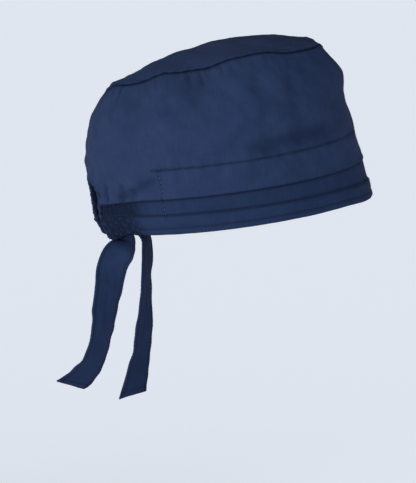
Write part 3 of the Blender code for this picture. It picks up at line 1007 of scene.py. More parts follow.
@dataclass
class SideWall:
    """The side wall, creased and puckered, with the arch over the back opening."""

    form: CapForm
    columns: int = 561
    low_rows: int = 25
    high_rows: int = 47
    edge_radius: float = 0.0009
    stitch_depth: float = 0.00042
    broad: Waves = Waves(0.00078, 0.027, 21)
    fine: Waves = Waves(0.00034, 0.0115, 22)
    front: Ramp = Ramp(0.205, 0.060)
    past_foot: Ramp = Ramp(0.0, 0.008)
    past_top: Ramp = Ramp(0.0, 0.010)
    calmer: Ramp = Ramp(0.10, 0.09)
    upright_top: Ramp = Ramp(0.002, -0.003)
    gathering: Ramp = Ramp(0.085, -0.02)
    top_puckers: tuple[Ripple, ...] = (Ripple(1.0, 0.0105, 23), Ripple(0.5, 0.0062, 24))
    top_swell: Ripple = Ripple(0.6, 0.041, 30)
    top_pull: Groove = Groove(0.0006, 0.002, 0.0060)
    # Painted shade in the puckers under the crown seam, and along both seams
    top_dusk: Groove = Groove(0.22, 0.004, 0.0035)
    top_ridge: Groove = Groove(0.0005, 0.0035, 0.0035)
    seam_shade: Groove = Groove(0.9, 0.0, 0.0010)
    level_groove: Groove = Groove(1.0, 0.0, 0.0010)
    ripple_depth: float = 0.00022
    stitch_ripple: Ripple = Ripple(1.0, 0.0030, 25)
    stitch_pull: Ripple = Ripple(0.00040, 0.0120, 26)
    upright_groove: Groove = Groove(1.0, 0.0, 0.0008)
    upright_ripple: Ripple = Ripple(0.00034, 0.0032, 27)
    overhang: Groove = Groove(0.0004, 0.0016, 0.0016)
    foot_gathers: Ripple = Ripple(0.0005, 0.0052, 28)
    foot_ripple: Ripple = Ripple(0.0002, 0.0045, 29)

    def relief(self, around: Array, height: Array) -> tuple[Array, Array]:
        """Finds how far the wall's finer forms stand out of its broad folds.

        Args:
            around: Lengths of band from the centre back.
            height: Heights over the rim.

        Returns:
            The relief, and how much painted shade each point takes, 0 to 1, in its creases,
            puckers, stitch grooves and seams.
        """
        form = self.form
        _, high = form.wall_ends(around)
        below = high[..., 2] - height
        above = height - form.wall_foot(around)
        back = form.from_back(around)
        shade = np.zeros(np.broadcast(around, height).shape)

        facing = self.front.at(back)
        relief = self.broad.over(around, height, form.round)
        relief += self.fine.over(around, height, form.round)
        relief *= (1 - 0.5 * facing) * self.past_foot.at(above) * self.past_top.at(below)
        pressed = self.creases(around, height)
        relief += pressed
        # Painted shade in the creases' hollows
        shade += np.clip(-pressed / 0.0016, 0, 1) * 0.42

        top = sum(ripple.along(around) for ripple in self.top_puckers)
        lively = 1.25 - 0.95 * self.calmer.at(back)
        lively *= 1 + self.top_swell.along(around)
        relief += lively * top * self.top_pull.across(below) + self.top_ridge.across(below)
        relief -= rolled(below, self.edge_radius)
        # Painted shade in the puckers under the crown seam and along the seam
        shade += lively * np.clip(-top, 0, 1) * self.top_dusk.across(below)
        shade += self.seam_shade.across(below)

        forward = eased((back - form.sweat_start) / MM + 1)
        line = height - form.sweat_stitch
        groove = forward * self.level_groove.across(line)
        ripple = self.stitch_ripple.along(around)
        relief -= self.stitch_depth * groove * (1 - 0.6 * facing)
        relief += forward * self.ripple_depth * ripple * bump(line, 0.0030)
        relief += forward * self.stitch_pull.along(around) * bump(line, 0.0080) * (1 - facing)
        column = back - form.vertical_stitch
        beside = self.upright_groove.across(column) * eased(1 - line / MM)
        drawn = self.upright_ripple.along(height) * bump(column, 0.0040)
        relief += drawn * self.upright_top.at(line) - self.stitch_depth * beside
        # Painted shade in the stitch grooves
        shade += 0.55 * (groove + beside)

        relief += self.overhang.across(above) * (1 + 0.5 * ripple)
        gathered = self.gathering.at(back)
        relief += gathered * self.foot_gathers.along(around) * bump(above - 0.001, 0.0060)
        relief += (1 - gathered) * self.foot_ripple.along(around) * bump(above, 0.0035)
        relief -= rolled(above, self.edge_radius)
        # Painted shade along the wall's lower edge
        shade += self.seam_shade.across(above)
        return relief, np.clip(shade, 0, 1)

    def creases(self, around: Array, height: Array) -> Array:
        """Adds up the creases of both sides."""
        total = np.zeros(np.broadcast(around, height).shape)
        tables = ((RIGHT_CREASES, around), (LEFT_CREASES, self.form.round - around))
        for table, along in tables:
            for crease in table:
                start = np.array(crease.start) * MM
                run = np.array(crease.end) * MM - start
                length = float(np.hypot(*run))
                run /= length
                x, y = along - start[0], height - start[1]
                ahead = x * run[0] + y * run[1]
                aside = (x * -run[1] + y * run[0]) / (crease.width * MM)
                soft = max(crease.width * MM, 0.25 * length)
                ends = eased(ahead / soft + 0.5) * eased((length - ahead) / soft + 0.5)
                total += crease.depth * MM * (1 + crease.lean * aside) * bump(aside, 1) * ends
        return total

    def point(self, around: Array, height: Array) -> Array:
        """Places of the finished wall in the world."""
        base = self.form.wall(around, height)
        relief, _ = self.relief(around, height)
        return self.form.placed(base + level(base) * relief[..., None])

    def build(self, material: bpy.types.Material) -> bpy.types.Object:
        """Makes the wall.

        Args:
            material: Its cloth.

        Returns:
            The wall with its thickness, closed at the centre back.
        """
        form = self.form
        around = form.stations(self.columns, 0, 0.060, 0.9)
        low_share = graded(self.low_rows, 0, 1, (0, 0.05, 6), (1, 0.05, 3))
        high_share = graded(self.high_rows, 0, 1, (0, 0.02, 3), (1, 0.02, 7))
        foot = form.wall_foot(around)
        top = form.wall_ends(around)[1][:, 2]
        low = foot + (form.sweat_stitch - foot) * low_share[:, None]
        high = form.sweat_stitch + (top - form.sweat_stitch) * high_share[1:, None]
        height = np.concatenate([low, high])
        across = np.broadcast_to(around, height.shape)
        base = form.wall(across, height)
        relief, shade_marks = self.relief(across, height)
        points = form.placed(base + level(base) * relief[..., None])
        flat = np.stack([across, run_along(points) + foot], axis=-1)
        mesh = cloth_grid(points, flat, shade_marks)
        bmesh.ops.remove_doubles(mesh, verts=mesh.verts, dist=1e-6)
        outward(mesh, Vector((0, 0, 0.06)))
        return thickened(piece_of("wall_cloth", mesh, material), form.laid)


# --------------------------------------------------------------------------- the band


@dataclass
class RimBand:
    """The folded band round the rim, with its tie channel, drawn up at both ends."""

    form: CapForm
    columns: int = 521
    edge_radius: float = 0.0009
    gathered: float = 0.054
    strip_inset: float = 0.0010
    puff: float = 0.00075
    blob: float = 0.0026
    blob_pitch: float = 0.0054
    blob_slant: float = 0.30
    blob_swing: Ripple = Ripple(0.26, 0.021, 31)
    bead_pitch: float = 0.0060
    beaded: float = 0.66
    blob_step: Ramp = Ramp(0.0085, 0.0035)
    strip_edge: Ramp = Ramp(0.0002, 0.0012)
    casing_edge: Ramp = Ramp(0.0, -0.0015)
    drawing: Ramp = Ramp(0.080, -0.030)
    front: Ramp = Ramp(0.255, 0.035)
    lined: Ramp = Ramp(0.017, 0.003)
    strip_fold_depth: float = 0.00085
    channel_depth: float = 0.00065
    hem_depth: float = 0.00028
    upright_depth: float = 0.00030
    strip_folds: Ripple = Ripple(1.0, 0.0054, 32)
    strip_ripple: Ripple = Ripple(0.00020, 0.0110, 33)
    seam_ripple: Ripple = Ripple(0.00020, 0.0031, 34)
    casing_waves: Waves = Waves(0.00030, 0.022, 35)
    upright_ripple: Ripple = Ripple(0.00018, 0.0032, 36)
    channel_groove: Groove = Groove(1.0, 0.0, 0.0010)
    hem_groove: Groove = Groove(1.0, 0.0, 0.0008)
    channel_ridge: Groove = Groove(0.00045, -0.0022, 0.0013)
    hem_ridge: Groove = Groove(0.00025, -0.0020, 0.0011)
    # Painted shade along the band's top, under the wall's edge
    under_wall_shade: Groove = Groove(0.5, 0.0, 0.0015)

    def relief(self, around: Array, height: Array) -> tuple[Array, Array]:
        """Finds how far the band's outside stands out of its plain surface.

        Args:
            around: Lengths of band from the centre back.
            height: Heights over the band's lower edge.

        Returns:
            The relief, and how much painted shade each point takes, 0 to 1, in its seams, grooves,
            folds and gathers, and under the wall.
        """
        form = self.form
        back = form.from_back(around)
        channel = form.channel(around)
        above = height - channel
        hem = height - form.hem_stitch
        drawn = eased(2.2 * (1 - form.past_end(around) / self.gathered))

        slanted = around - self.blob_slant * (height - 0.010) * np.sign(form.half - around)
        phase = slanted / self.blob_pitch + self.blob_swing.along(slanted)
        phase += 0.45 * self.blob_step.at(height)
        bead = height / self.bead_pitch + 0.38 * np.floor(phase)
        lobes = np.abs(np.sin(math.pi * phase)) ** 0.75
        lobes *= 1 - self.beaded * (0.5 + 0.5 * np.cos(2 * math.pi * bead))
        tight = 1 - 0.75 * bump(hem, 0.0012) - 0.75 * bump(above, 0.0014)
        strip = self.strip_edge.at(above)
        casing = self.casing_edge.at(above)

        long_drawn = self.drawing.at(back)
        relief = -self.strip_inset * strip * (0.25 + 0.75 * long_drawn)
        middle = np.clip(hem / (channel - form.hem_stitch), 0, 1)
        relief += self.puff * casing * np.sin(math.pi * middle)
        relief += drawn * self.blob * (lobes - 0.60) * tight * (1 - 0.45 * strip)
        folds = self.strip_folds.along(around)
        relief += self.strip_fold_depth * strip * long_drawn * folds
        relief += strip * (1 - long_drawn) * self.strip_ripple.along(around)
        channel_groove = self.channel_groove.across(above)
        hem_groove = self.hem_groove.across(hem)
        flat = 1 - 0.6 * self.front.at(back)
        relief -= (self.channel_depth * channel_groove + self.hem_depth * hem_groove) * flat
        relief += self.channel_ridge.across(above) + self.hem_ridge.across(hem)
        relief += self.seam_ripple.along(around) * (bump(above, 0.0028) + bump(hem, 0.0026))
        relief += self.casing_waves.over(around, height, form.round) * casing
        column = back - form.vertical_stitch
        seam = bump(column, 0.0008) * eased((height - form.stitch_foot) / MM)
        relief += self.upright_ripple.along(height) * bump(column, 0.004)
        relief -= self.upright_depth * seam
        relief -= rolled(height, self.edge_radius)
        # Painted shade: the strip under the wall, the stitch grooves, the upright seam, the drawn
        # folds, between the ruche's blobs, and the top under the wall
        shade = 0.06 * strip + 0.75 * channel_groove + 0.35 * hem_groove + 0.5 * seam
        shade += 0.50 * strip * long_drawn * (1 - 0.7 * folds)
        shade += drawn * (0.42 + 0.9 * (1 - lobes))
        shade += self.under_wall_shade.across(height - form.band_height)
        return relief, np.clip(shade, 0, 1)

    def surface(self, around: Array, height: Array, depth: Array) -> Array:
        """Places in the world at a depth under the band's plain outside."""
        rise = height / self.form.band_height
        return self.form.placed(self.form.worn_band(around, rise, depth))

    def point(self, around: Array, height: Array) -> Array:
        """Places of the finished band's outside in the world."""
        relief, _ = self.relief(around, height)
        return self.surface(around, height, -relief)

    def build(self, material: bpy.types.Material) -> bpy.types.Object:
        """Makes the band.

        Args:
            material: Its cloth.

        Returns:
            The band as one closed strip.
        """
        form = self.form
        around = form.stations(self.columns, form.opening_width / 2, 0.040, 1.6)
        top = form.band_height - 0.0004
        share = graded(31, 0, 1, (0, 0.03, 3), (0.42, 0.04, 2), (0.83, 0.04, 2), (1, 0.03, 4))
        outer = top * (1 - share)
        inner = np.linspace(0.02 * top, form.band_height + 0.0016, 9)
        height = np.concatenate([outer, inner])[None, :]
        height, across = np.broadcast_arrays(height, around[:, None])
        relief, shade_marks = self.relief(across, height)
        depth = -relief
        count = len(outer)
        under = form.band_thickness + 0.0002 * self.lined.at(height[:, count:])
        depth[:, count:] = under - 0.35 * np.clip(relief[:, count:], -0.0006, 0.0012)
        # The inside takes half the painted shade
        shade_marks[:, count:] *= 0.5
        points = ringed(self.surface(across, height, depth))
        girth = run_along(points.swapaxes(0, 1)).T
        flat = np.stack([np.broadcast_to(around[:, None], girth.shape), -girth], axis=-1)
        return piece_of("band_cloth", tube(points, flat, ringed(shade_marks)), material)


@dataclass
class OpeningHem:
    """The drawn-up roll that edges the back opening, over the band's ends and the arch."""

    form: CapForm
    stations: int = 281
    corners: int = 20
    half_width: float = 0.0021
    half_depth: float = 0.0015
    foot: float = 0.0010
    sunk: float = 0.0009
    pitch: float = 0.0060
    swing: Ripple = Ripple(0.22, 0.019, 41)
    fine: Ripple = Ripple(0.10, 0.0027, 42)

    def path(self, count: int) -> tuple[Array, Array]:
        """Lengths of band and heights along the opening's edge, from right to left."""
        form = self.form
        reach = form.opening_width / 2
        top = form.band_height - form.seam_droop
        rise = form.opening_height - top
        legs = np.linspace(self.foot, top, 60)
        bow = np.linspace(0, math.pi, 120)
        power = 2 / form.arch_power
        wide = form.arch_reach * np.sign(np.cos(bow)) * np.abs(np.cos(bow)) ** power
        along = np.concatenate([np.full(60, reach), wide[1:-1], np.full(60, -reach)])
        high = top + rise * np.sin(bow[1:-1]) ** power
        height = np.concatenate([legs, high, legs[::-1]])
        length = run_along(np.stack([along, height], axis=-1))
        at = np.linspace(0, length[-1], count)
        return np.interp(at, length, along), np.interp(at, length, height)

    def build(self, material: bpy.types.Material) -> bpy.types.Object:
        """Makes the roll.

        Args:
            material: Its cloth.

        Returns:
            The roll, closed at both ends.
        """
        form = self.form
        along, height = self.path(self.stations)
        around = along % form.round
        rise = np.clip(height / form.band_height, 0, 1)
        on_band = form.worn_band(around, rise, np.zeros_like(rise))
        on_wall = form.wall(around, np.maximum(height, form.band_height - form.seam_droop))
        high = eased((height - form.band_height + form.seam_droop + 0.001) / 0.004)[:, None]
        centre = on_band * (1 - high) + on_wall * high
        centre = self.smoothed(centre - level(centre) * self.sunk)
        ahead = unit(np.gradient(centre, axis=0))
        away = level(centre)
        away = unit(away - ahead * np.sum(away * ahead, axis=-1, keepdims=True))
        aside = np.cross(ahead, away)
        length = run_along(centre)
        corner = np.linspace(0, 2 * math.pi, self.corners + 1)
        phase = (length / self.pitch + self.swing.along(length))[:, None] + 0.20 * np.sin(corner)
        lobes = np.abs(np.sin(math.pi * phase)) ** 0.7
        swell = 0.78 + 0.40 * lobes + self.fine.along(length)[:, None]
        closing = np.clip(1 - np.minimum(length, length[::-1]) / self.half_depth, 0, None)
        swell *= np.sqrt(np.clip(1 - closing**2, 0.01, 1))[:, None]
        points = (
            centre[:, None]
            + away[:, None] * (self.half_depth * swell * np.cos(corner))[..., None]
            + aside[:, None] * (self.half_width * swell * np.sin(corner))[..., None]
        )
        flat = np.stack(np.broadcast_arrays(self.half_width * corner, length[:, None]), axis=-1)
        # Painted shade between the roll's gathers
        mesh = tube(form.placed(points), flat, 0.8 * (1 - lobes))
        return piece_of("opening_hem", mesh, material)

    @staticmethod
    def smoothed(points: Array, rounds: int = 6) -> Array:
        """Rounds off the corners of a line of points."""
        for _ in range(rounds):
            middle = (points[:-2] + 2 * points[1:-1] + points[2:]) / 4
            points = np.concatenate([points[:1], middle, points[-1:]])
        return points


# --------------------------------------------------------------------------- the ties


@dataclass
class Tie:
    """A flat tie of doubled cloth, sewn in under the band and cut slanting at its end.

    A sweep moves its upper part toward the back, as far down as it is swept. An even painted shade,
    its painted_dusk, darkens all of it.
    """

    form: CapForm
    name: str
    side: Side
    length: float
    sewn: float
    slant: float
    bends: Sequence[Sequence[float]]
    seed: int
    width: float = 0.024
    thickness: float = 0.0016
    root: float = 0.014
    setback: float = 0.002
    gap: float = 0.0005
    turn_share: float = 0.04
    face_share: float = 0.08
    sweep: float = 0.0
    swept_until: float = 1.0
    # Painted shade over the whole tie
    painted_dusk: float = 0.0
    edge_stitch: float = 0.0021
    end_stitch: float = 0.0045
    stitch_pull: float = 0.00022
    edge_ridge: Groove = Groove(0.00012, 0.0009, 0.0008)
    edge_ruffle: Groove = Groove(1.0, 0.002, 0.002)
    crease_depth: float = 0.0007
    creased: Ramp = Ramp(0.035, 0.03)
    crease_end: Ramp = Ramp(0.02, 0.03)
    freed: Ramp = Ramp(0.012, 0.03)
    swept_from: Ramp = Ramp(-0.011, 0.012)
    cad_stations: int = 34
    stations: int = 181

    def sewn_in(self) -> tuple[Vector, Vector, Vector]:
        """The tie's top, the way it is sewn down, and the direction of its width."""
        form = self.form
        near = form.opening_width / 2 + self.setback
        depth = form.band_thickness + self.gap + self.thickness / 2
        around = np.array([near, near + self.width])
        turns = self.side.value * np.interp(around, form.arc[1], form.arc[0])

        def middle(rise: float) -> tuple[Vector, Vector]:
            """The middle between the tie's edges at a share of the band, and the way across."""
            shares = np.full(2, rise)
            points = form.band(turns, shares)
            away = level(points)
            points[:, 2] -= form.drooped(around, shares)
            first, last = (Vector(p) for p in form.placed(points - away * depth))
            return (first + last) / 2, (last - first).normalized()

        top, across = middle(self.root / form.band_height)
        bottom, _ = middle(0.0)
        return top, (bottom - top).normalized(), across

    def route(self) -> tuple[Array, Array, Array]:
        """Centre points, headings and widthwise directions, from the sewn end to the tip."""
        top, down, across = self.sewn_in()
        first = max(2, round(self.cad_stations * self.sewn / self.length))
        rows = [(top + down * self.sewn * i / first, down, across) for i in range(first)]
        steps = self.cad_stations - first
        hang = self.length - self.sewn
        point = top + down * self.sewn
        for i in range(steps + 1):
            along = i / steps
            back, out, face = (
                math.radians(float(read(self.bends, column, np.array(along))))
                for column in (1, 2, 3)
            )
            heading = Vector((-math.sin(back), -math.sin(out), -math.cos(back) * math.cos(out)))
            turned = float(eased(np.array(along / self.turn_share)))
            heading = down.lerp(heading.normalized(), turned).normalized()
            faced = Vector((math.cos(face), -math.sin(face), 0))
            width = across.lerp(faced, float(eased(np.array(along / self.face_share))))
            width = (width - heading * width.dot(heading)).normalized()
            rows.append((point.copy(), heading, width))
            point += heading * hang / steps
        return tuple(np.array([list(row[i]) for row in rows]) for i in range(3))

    @cached_property
    def fine(self) -> tuple[Array, Array, Array, Array]:
        """The route at every station: lengths along it, centres, headings and widths."""
        centres, headings, widths = self.route()
        keys = np.arange(len(centres), dtype=float)
        share = graded(self.stations, 0, 1, (1, 0.012, 6))
        at = share * keys[-1]
        centre, heading, width = (
            np.stack([through(keys, rows[:, i], at) for i in range(3)], axis=-1)
            for rows in (centres, headings, widths)
        )
        length = share * self.length
        swept = self.swept_from.at(length - self.sewn)
        swept *= eased((self.swept_until - length) / 0.034)
        centre[:, 0] -= self.sweep * swept
        heading = unit(heading)
        width = unit(width - heading * np.sum(width * heading, axis=-1, keepdims=True))
        return length, centre, heading, width

    def placed(self, station: Array, across: Array, through_share: Array) -> Array:
        """Places of the tie's faces in the world.

        Args:
            station: Which stations, as whole numbers.
            across: Shares of the half width, -1 to 1.
            through_share: Which face, -1 or 1, or 0 for the middle.

        Returns:
            The places.
        """
        length, centre, heading, width = (part[station] for part in self.fine)
        face = np.cross(heading, width)
        share = length / self.length
        slanting = 3 * self.slant / self.length
        cut = eased((share - 1 + slanting) / slanting)
        slant = -across * self.slant / 2 * cut
        from_edge = (1 - np.abs(across)) * self.width / 2
        from_tip = self.length - length
        half = self.thickness / 2
        thick = half - 0.8 * rolled(from_edge, half) - 0.8 * rolled(from_tip, half)
        thick = np.maximum(thick, 0.15 * half)
        thick += self.edge_ridge.across(from_edge)
        thick -= self.stitch_pull * bump(from_edge - self.edge_stitch, 0.0005)
        thick -= self.stitch_pull * bump(from_tip - self.end_stitch, 0.0006)
        free = self.freed.at(length - self.sewn)
        x = across * self.width / 2
        wave = Waves(0.00075, 0.030, self.seed).over(length, x, 0.9)
        wave += Waves(0.00022, 0.011, self.seed + 1).over(length, x, 0.9)
        crease = -self.crease_depth * bump(x + 0.0012 + 0.0012 * np.sin(length / 0.017), 0.0011)
        wave += crease * self.creased.at(length) * self.crease_end.at(from_tip)
        ripple = Ripple(0.00016, 0.0031, self.seed + 2).along(length)
        wave += ripple * self.edge_ruffle.across(from_edge)
        edge = Ripple(0.00030, 0.016, self.seed + 3).along(length) * free * np.abs(across) ** 3
        return (
            centre
            + width * (across * (self.width / 2 + edge))[..., None]
            + face * (through_share * thick + wave * free)[..., None]
            + heading * slant[..., None]
        )

    def build(self, material: bpy.types.Material) -> bpy.types.Object:
        """Makes the tie.

        Args:
            material: Its cloth.

        Returns:
            The tie, closed all round.
        """
        one_face = graded(23, -1, 1, (-1, 0.05, 7), (1, 0.05, 7), (-0.83, 0.05, 2), (0.83, 0.05, 2))
        across = np.concatenate([one_face, one_face[::-1]])
        through_share = np.concatenate([np.ones(23), -np.ones(23)])
        station = np.arange(self.stations)[:, None]
        points = ringed(self.placed(*np.broadcast_arrays(station, across, through_share)))
        run = self.fine[0][:, None]
        girth = np.concatenate([one_face, 2 - one_face[::-1] + 1e-9, [3.0]]) * self.width / 2
        flat = np.stack(np.broadcast_arrays(girth, run), axis=-1)
        from_edge = (1 - np.abs(across)) * self.width / 2
        # Painted shade in the stitch grooves, a painted shadow under the band at the root, and an
        # even painted shade all over
        shade_marks = 0.5 * bump(from_edge - self.edge_stitch, 0.0006)
        shade_marks = shade_marks + 0.5 * bump(self.length - run - self.end_stitch, 0.0007)
        shaded = eased((self.sewn + self.root - run) / 0.010)
        shade_marks = np.clip(shade_marks + self.painted_dusk + 0.75 * shaded, 0, 1)
        return piece_of(self.name + "_cloth", tube(points, flat, ringed(shade_marks)), material)


# --------------------------------------------------------------------------- stitches


@dataclass
class Stitching:
    """Rows of single stitches, each a small bead of thread half sunk in the cloth."""

    stitch: float = 0.0021
    pitch: float = 0.0030
    half_width: float = 0.00024
    half_height: float = 0.00017
    rows: list[tuple[Array, Array]] = field(default_factory=list)

    def sew(self, line: Line, lift: Line, length: float) -> None:
        """Adds a row of stitches.

        Args:
            line: The row's places for shares 0 to 1 along it.
            lift: The directions out of the cloth for the same shares.
            length: How long the row is.
        """
        count = max(int(length / self.pitch), 1)
        share = (np.arange(count) + 0.5) / count
        half = self.stitch / 2 / length
        ends = line(share - half), line(share + half)
        self.rows.append((np.stack(ends), unit(lift(share))))

    def build(self, name: str, material: bpy.types.Material) -> bpy.types.Object:
        """Makes all the rows one piece.

        Args:
            name: The piece's name.
            material: The thread.

        Returns:
            The stitches.
        """
        bead = bmesh.new()
        bmesh.ops.create_uvsphere(bead, u_segments=6, v_segments=5, radius=1)
        bmesh.ops.rotate(bead, verts=bead.verts, matrix=Matrix.Rotation(math.pi / 2, 3, "Y"))
        one = np.array([list(vert.co) for vert in bead.verts])
        data = bpy.data.meshes.new("bead")
        bead.to_mesh(data)
        bead.free()
        mesh = bmesh.new()
        places = []
        for (starts, ends), lifts in self.rows:
            run = ends - starts
            aside = unit(np.cross(run, lifts))
            up = unit(np.cross(aside, run))
            middle = (starts + ends) / 2 + up * 0.00004
            places.append(
                middle[:, None]
                + one[None, :, :1] * run[:, None] / 2
                + one[None, :, 1:2] * aside[:, None] * self.half_width
                + one[None, :, 2:] * up[:, None] * self.half_height
            )
            for _ in run:
                mesh.from_mesh(data)
        bpy.data.meshes.remove(data)
        for vert, place in zip(mesh.verts, np.concatenate(places).reshape(-1, 3).tolist()):
            vert.co = place
        for face in mesh.faces:
            face.smooth = True
        inside_out_mended(mesh)
        return piece_of(name, mesh, material)


def surface_lift(point: Surface, around: Array, height: Array) -> Array:
    """Directions out of a surface given by lengths of band and heights.

    Args:
        point: The surface.
        around: Lengths of band.
        height: Heights.

    Returns:
        Unit normals that point away from the cap's axis.
    """
    step = 0.0006
    along = point(around + step, height) - point(around - step, height)
    up = point(around, height + step) - point(around, height - step)
    normal = unit(np.cross(along, up))
    facing = np.sum(normal * level(point(around, height)), axis=-1, keepdims=True)
    return np.where(facing < 0, -normal, normal)


def cap_stitches(form: CapForm, wall: SideWall, band: RimBand) -> tuple[Stitching, ...]:
    """Sews the rows of the wall and of the band.

    Args:
        form: The cap's surfaces.
        wall: The finished wall.
        band: The finished band.

    Returns:
        The wall's stitches, the band's, and those of the upright rows.
    """
    on_wall, on_band, upright = Stitching(), Stitching(), Stitching()

    def row(
        sewing: Stitching,
        point: Surface,
        start: tuple[float, float],
        end: tuple[float, float],
        height: Line | None = None,
    ) -> None:
        """Sews a row between two places on a surface, at a height of its own if given."""

        def places(share: Array) -> tuple[Array, Array]:
            """Where shares of the row lie on the surface."""
            around, up = (low + (high - low) * share for low, high in zip(start, end))
            return around, (height(around) if height else up)

        sewing.sew(
            lambda share: point(*places(share)),
            lambda share: surface_lift(point, *places(share)),
            math.dist(start, end),
        )

    line, top, start = form.sweat_stitch, form.band_height, form.sweat_start
    row(on_wall, wall.point, (start, line), (form.round - start, line))
    for around in (form.vertical_stitch, form.round - form.vertical_stitch):
        row(upright, wall.point, (around, line - 0.001), (around, top + 0.002))
        row(upright, band.point, (around, top - 0.002), (around, form.stitch_foot))
    near = form.opening_width / 2 + 0.003
    far = form.round - near
    row(on_band, band.point, (near, 0.0), (far, 0.0), form.channel)
    row(on_band, band.point, (near, form.hem_stitch), (far, form.hem_stitch))
    return on_wall, on_band, upright


def tie_stitches(tie: Tie) -> Stitching:
    """Sews both long edges and the slanting end of a tie.

    Args:
        tie: The finished tie.

    Returns:
        Its stitches, on both faces.
    """
    sewing = Stitching()
    keys = tie.fine[0]

    def spot(length: Array, across: Array, face: float) -> Array:
        """Points on a face of the tie, between its stations."""
        at = np.interp(length, keys, np.arange(len(keys)))
        low = np.clip(np.floor(at).astype(int), 0, tie.stations - 2)
        part = (at - low)[..., None]
        sides = np.full(at.shape, face)
        before, after = (tie.placed(station, across, sides) for station in (low, low + 1))
        return before * (1 - part) + after * part

    def row(start: tuple[float, float], end: tuple[float, float], face: float) -> None:
        """Sews a row between two places on a face of the tie."""

        def places(share: Array) -> tuple[Array, Array]:
            """Where shares of the row lie on the tie."""
            return tuple(low + (high - low) * share for low, high in zip(start, end))

        def lift(share: Array) -> Array:
            """The ways out of the cloth at shares of the row."""
            length, across = places(share)
            inside = (length - 0.0003, across) if start[0] == end[0] else (length, across * 0.97)
            return spot(*inside, face) - spot(*inside, -face)

        run = math.hypot(end[0] - start[0], (end[1] - start[1]) * tie.width / 2)
        sewing.sew(lambda share: spot(*places(share), face), lift, run)

    side = 1 - tie.edge_stitch / (tie.width / 2)
    first, last = tie.sewn + 0.004, tie.length - tie.end_stitch
    for face in (-1.0, 1.0):
        row((first, -side), (last, -side), face)
        row((first, side), (last, side), face)
        row((last, -side), (last, side), face)
    return sewing


# --------------------------------------------------------------------------- studio


def seen_from(turn: float, rise: float) -> Vector:
    """The direction to a place at a turn from the cap's right side and a rise, in radians."""
    flat = math.cos(rise)
    return Vector((math.sin(turn) * flat, -math.cos(turn) * flat, math.sin(rise)))


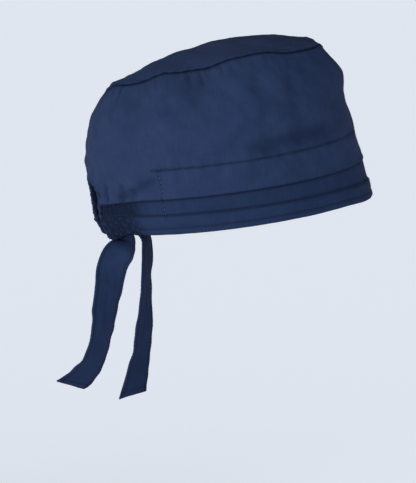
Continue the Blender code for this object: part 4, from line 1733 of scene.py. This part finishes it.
@dataclass(frozen=True)
class Studio:
    """The camera, the pale floor and the soft light."""

    azimuth_deg: float = -10.0
    elevation_deg: float = 8.7
    metres_per_pixel: float = 0.7855 * MM
    rim_pixel: tuple[float, float] = (236.6, 210.2)
    image: tuple[int, int] = (416, 483)
    distance: float = 6.0
    sensor_mm: float = 36.0
    floor_height: float = -0.30
    floor_size: float = 40.0
    floor_colour: Colour = (0.80, 0.825, 0.88)
    floor_glow: float = 0.42
    world_colour: Colour = (0.86, 0.90, 1.0)
    world_strength: float = 0.20

    def camera(self) -> bpy.types.Object:
        """Sets up the camera at the photograph's angle.

        Returns:
            The scene's camera.
        """
        azimuth = math.radians(self.azimuth_deg)
        toward = seen_from(azimuth, math.radians(self.elevation_deg))
        right = Vector((math.cos(azimuth), math.sin(azimuth), 0))
        up = toward.cross(right)
        scale = self.metres_per_pixel
        centre = -right * (self.rim_pixel[0] - self.image[0] / 2) * scale
        centre += up * (self.rim_pixel[1] - self.image[1] / 2) * scale
        data = bpy.data.cameras.new("studio_camera")
        data.sensor_width = self.sensor_mm
        data.lens = self.sensor_mm * self.distance / (self.image[1] * scale)
        data.clip_end = 100
        camera = bpy.data.objects.new("studio_camera", data)
        turned = Matrix((right, up, toward)).transposed().to_4x4()
        camera.matrix_world = Matrix.Translation(centre + toward * self.distance) @ turned
        bpy.context.scene.collection.objects.link(camera)
        bpy.context.scene.camera = camera
        return camera

    def floor(self) -> bpy.types.Object:
        """Lays the pale floor well below the ties."""
        mesh = bmesh.new()
        bmesh.ops.create_grid(mesh, x_segments=1, y_segments=1, size=self.floor_size / 2)
        bmesh.ops.translate(mesh, vec=(0, 0, self.floor_height), verts=mesh.verts)
        paint, _, surface = started("pale_floor")
        surface.inputs["Base Color"].default_value = (*self.floor_colour, 1)
        surface.inputs["Roughness"].default_value = 1.0
        surface.inputs["Specular IOR Level"].default_value = 0.0
        surface.inputs["Emission Color"].default_value = (*self.floor_colour, 1)
        surface.inputs["Emission Strength"].default_value = self.floor_glow
        floor = piece_of("studio_floor", mesh, paint)
        floor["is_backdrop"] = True
        return floor

    def light(self) -> None:
        """Hangs the soft lights: a broad low key from the left, and a weak fill."""
        view = math.radians(self.azimuth_deg)
        for name, side_deg, rise_deg, strength, spread_deg, colour in (
            ("key_light", -62.0, 10.0, 2.95, 40.0, (1.0, 1.0, 1.0)),
            ("fill_light", 14.0, 14.0, 2.15, 60.0, (0.86, 0.97, 1.0)),
        ):
            data = bpy.data.lights.new(name, "SUN")
            data.energy = strength
            data.color = colour
            data.angle = math.radians(spread_deg)
            lamp = bpy.data.objects.new(name, data)
            turn = view + math.radians(side_deg)
            toward = seen_from(turn, math.radians(rise_deg))
            lamp.matrix_world = toward.to_track_quat("Z", "Y").to_matrix().to_4x4()
            bpy.context.scene.collection.objects.link(lamp)
        world = bpy.data.worlds.new("studio_world")
        world.use_nodes = True
        sky = world.node_tree.nodes["Background"]
        sky.inputs["Color"].default_value = (*self.world_colour, 1)
        sky.inputs["Strength"].default_value = self.world_strength
        bpy.context.scene.world = world
        bpy.context.scene.view_settings.view_transform = "Standard"

    def build(self) -> None:
        """Sets up everything round the cap."""
        self.camera()
        self.floor()
        self.light()


# --------------------------------------------------------------------------- assembly


def main() -> None:
    """Dresses the cap and sets up its studio."""
    logging.basicConfig(level=logging.INFO, format="%(name)s: %(message)s")
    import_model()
    cad_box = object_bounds()
    Studio().build()

    form = CapForm()
    poplin = ClothFinish(Slot.POPLIN, (0.0092, 0.0196, 0.0585), (0.0198, 0.0345, 0.0850))
    binding = ClothFinish(Slot.BINDING, (0.0072, 0.0164, 0.0510), (0.0150, 0.0282, 0.0730))
    poplin, binding = poplin.material(), binding.material()
    thread = ThreadFinish().material()
    pale = ThreadFinish("pale_thread", (0.040, 0.058, 0.115), (0.085, 0.110, 0.180)).material()

    wall_form, band_form = SideWall(form), RimBand(form)
    crown = ridden(Crown(form).build(poplin), "crown_panel")
    wall = ridden(wall_form.build(poplin), "side_wall")
    band = ridden(band_form.build(binding), "rim_band")
    hem = ridden(OpeningHem(form).build(binding))
    on_wall, on_band, upright = cap_stitches(form, wall_form, band_form)
    wall_thread = ridden(on_wall.build("wall_stitches", thread))
    pale_thread = ridden(upright.build("upright_stitches", pale))
    band_thread = ridden(on_band.build("band_stitches", thread))

    right = Tie(form, "right_tie", Side.RIGHT, 0.1485, 0.0185, 0.0177, RIGHT_TIE_BENDS, 51)
    left = Tie(form, "left_tie", Side.LEFT, 0.1678, 0.0030, 0.0095, LEFT_TIE_BENDS, 61)
    right = replace(right, sweep=0.0010, swept_until=0.066)
    # The far, left tie takes an even painted shade
    left = replace(left, sweep=-0.0015, painted_dusk=0.15)
    for tie in (right, left):
        piece = ridden(tie.build(binding), tie.name)
        sewn = tie_stitches(tie).build(tie.name + "_stitches", thread)
        ridden(sewn)

    boxes = ([list(map(float, corner)) for corner in box] for box in (cad_box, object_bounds()))
    str(list(boxes))


if __name__ == "__main__":
    main()
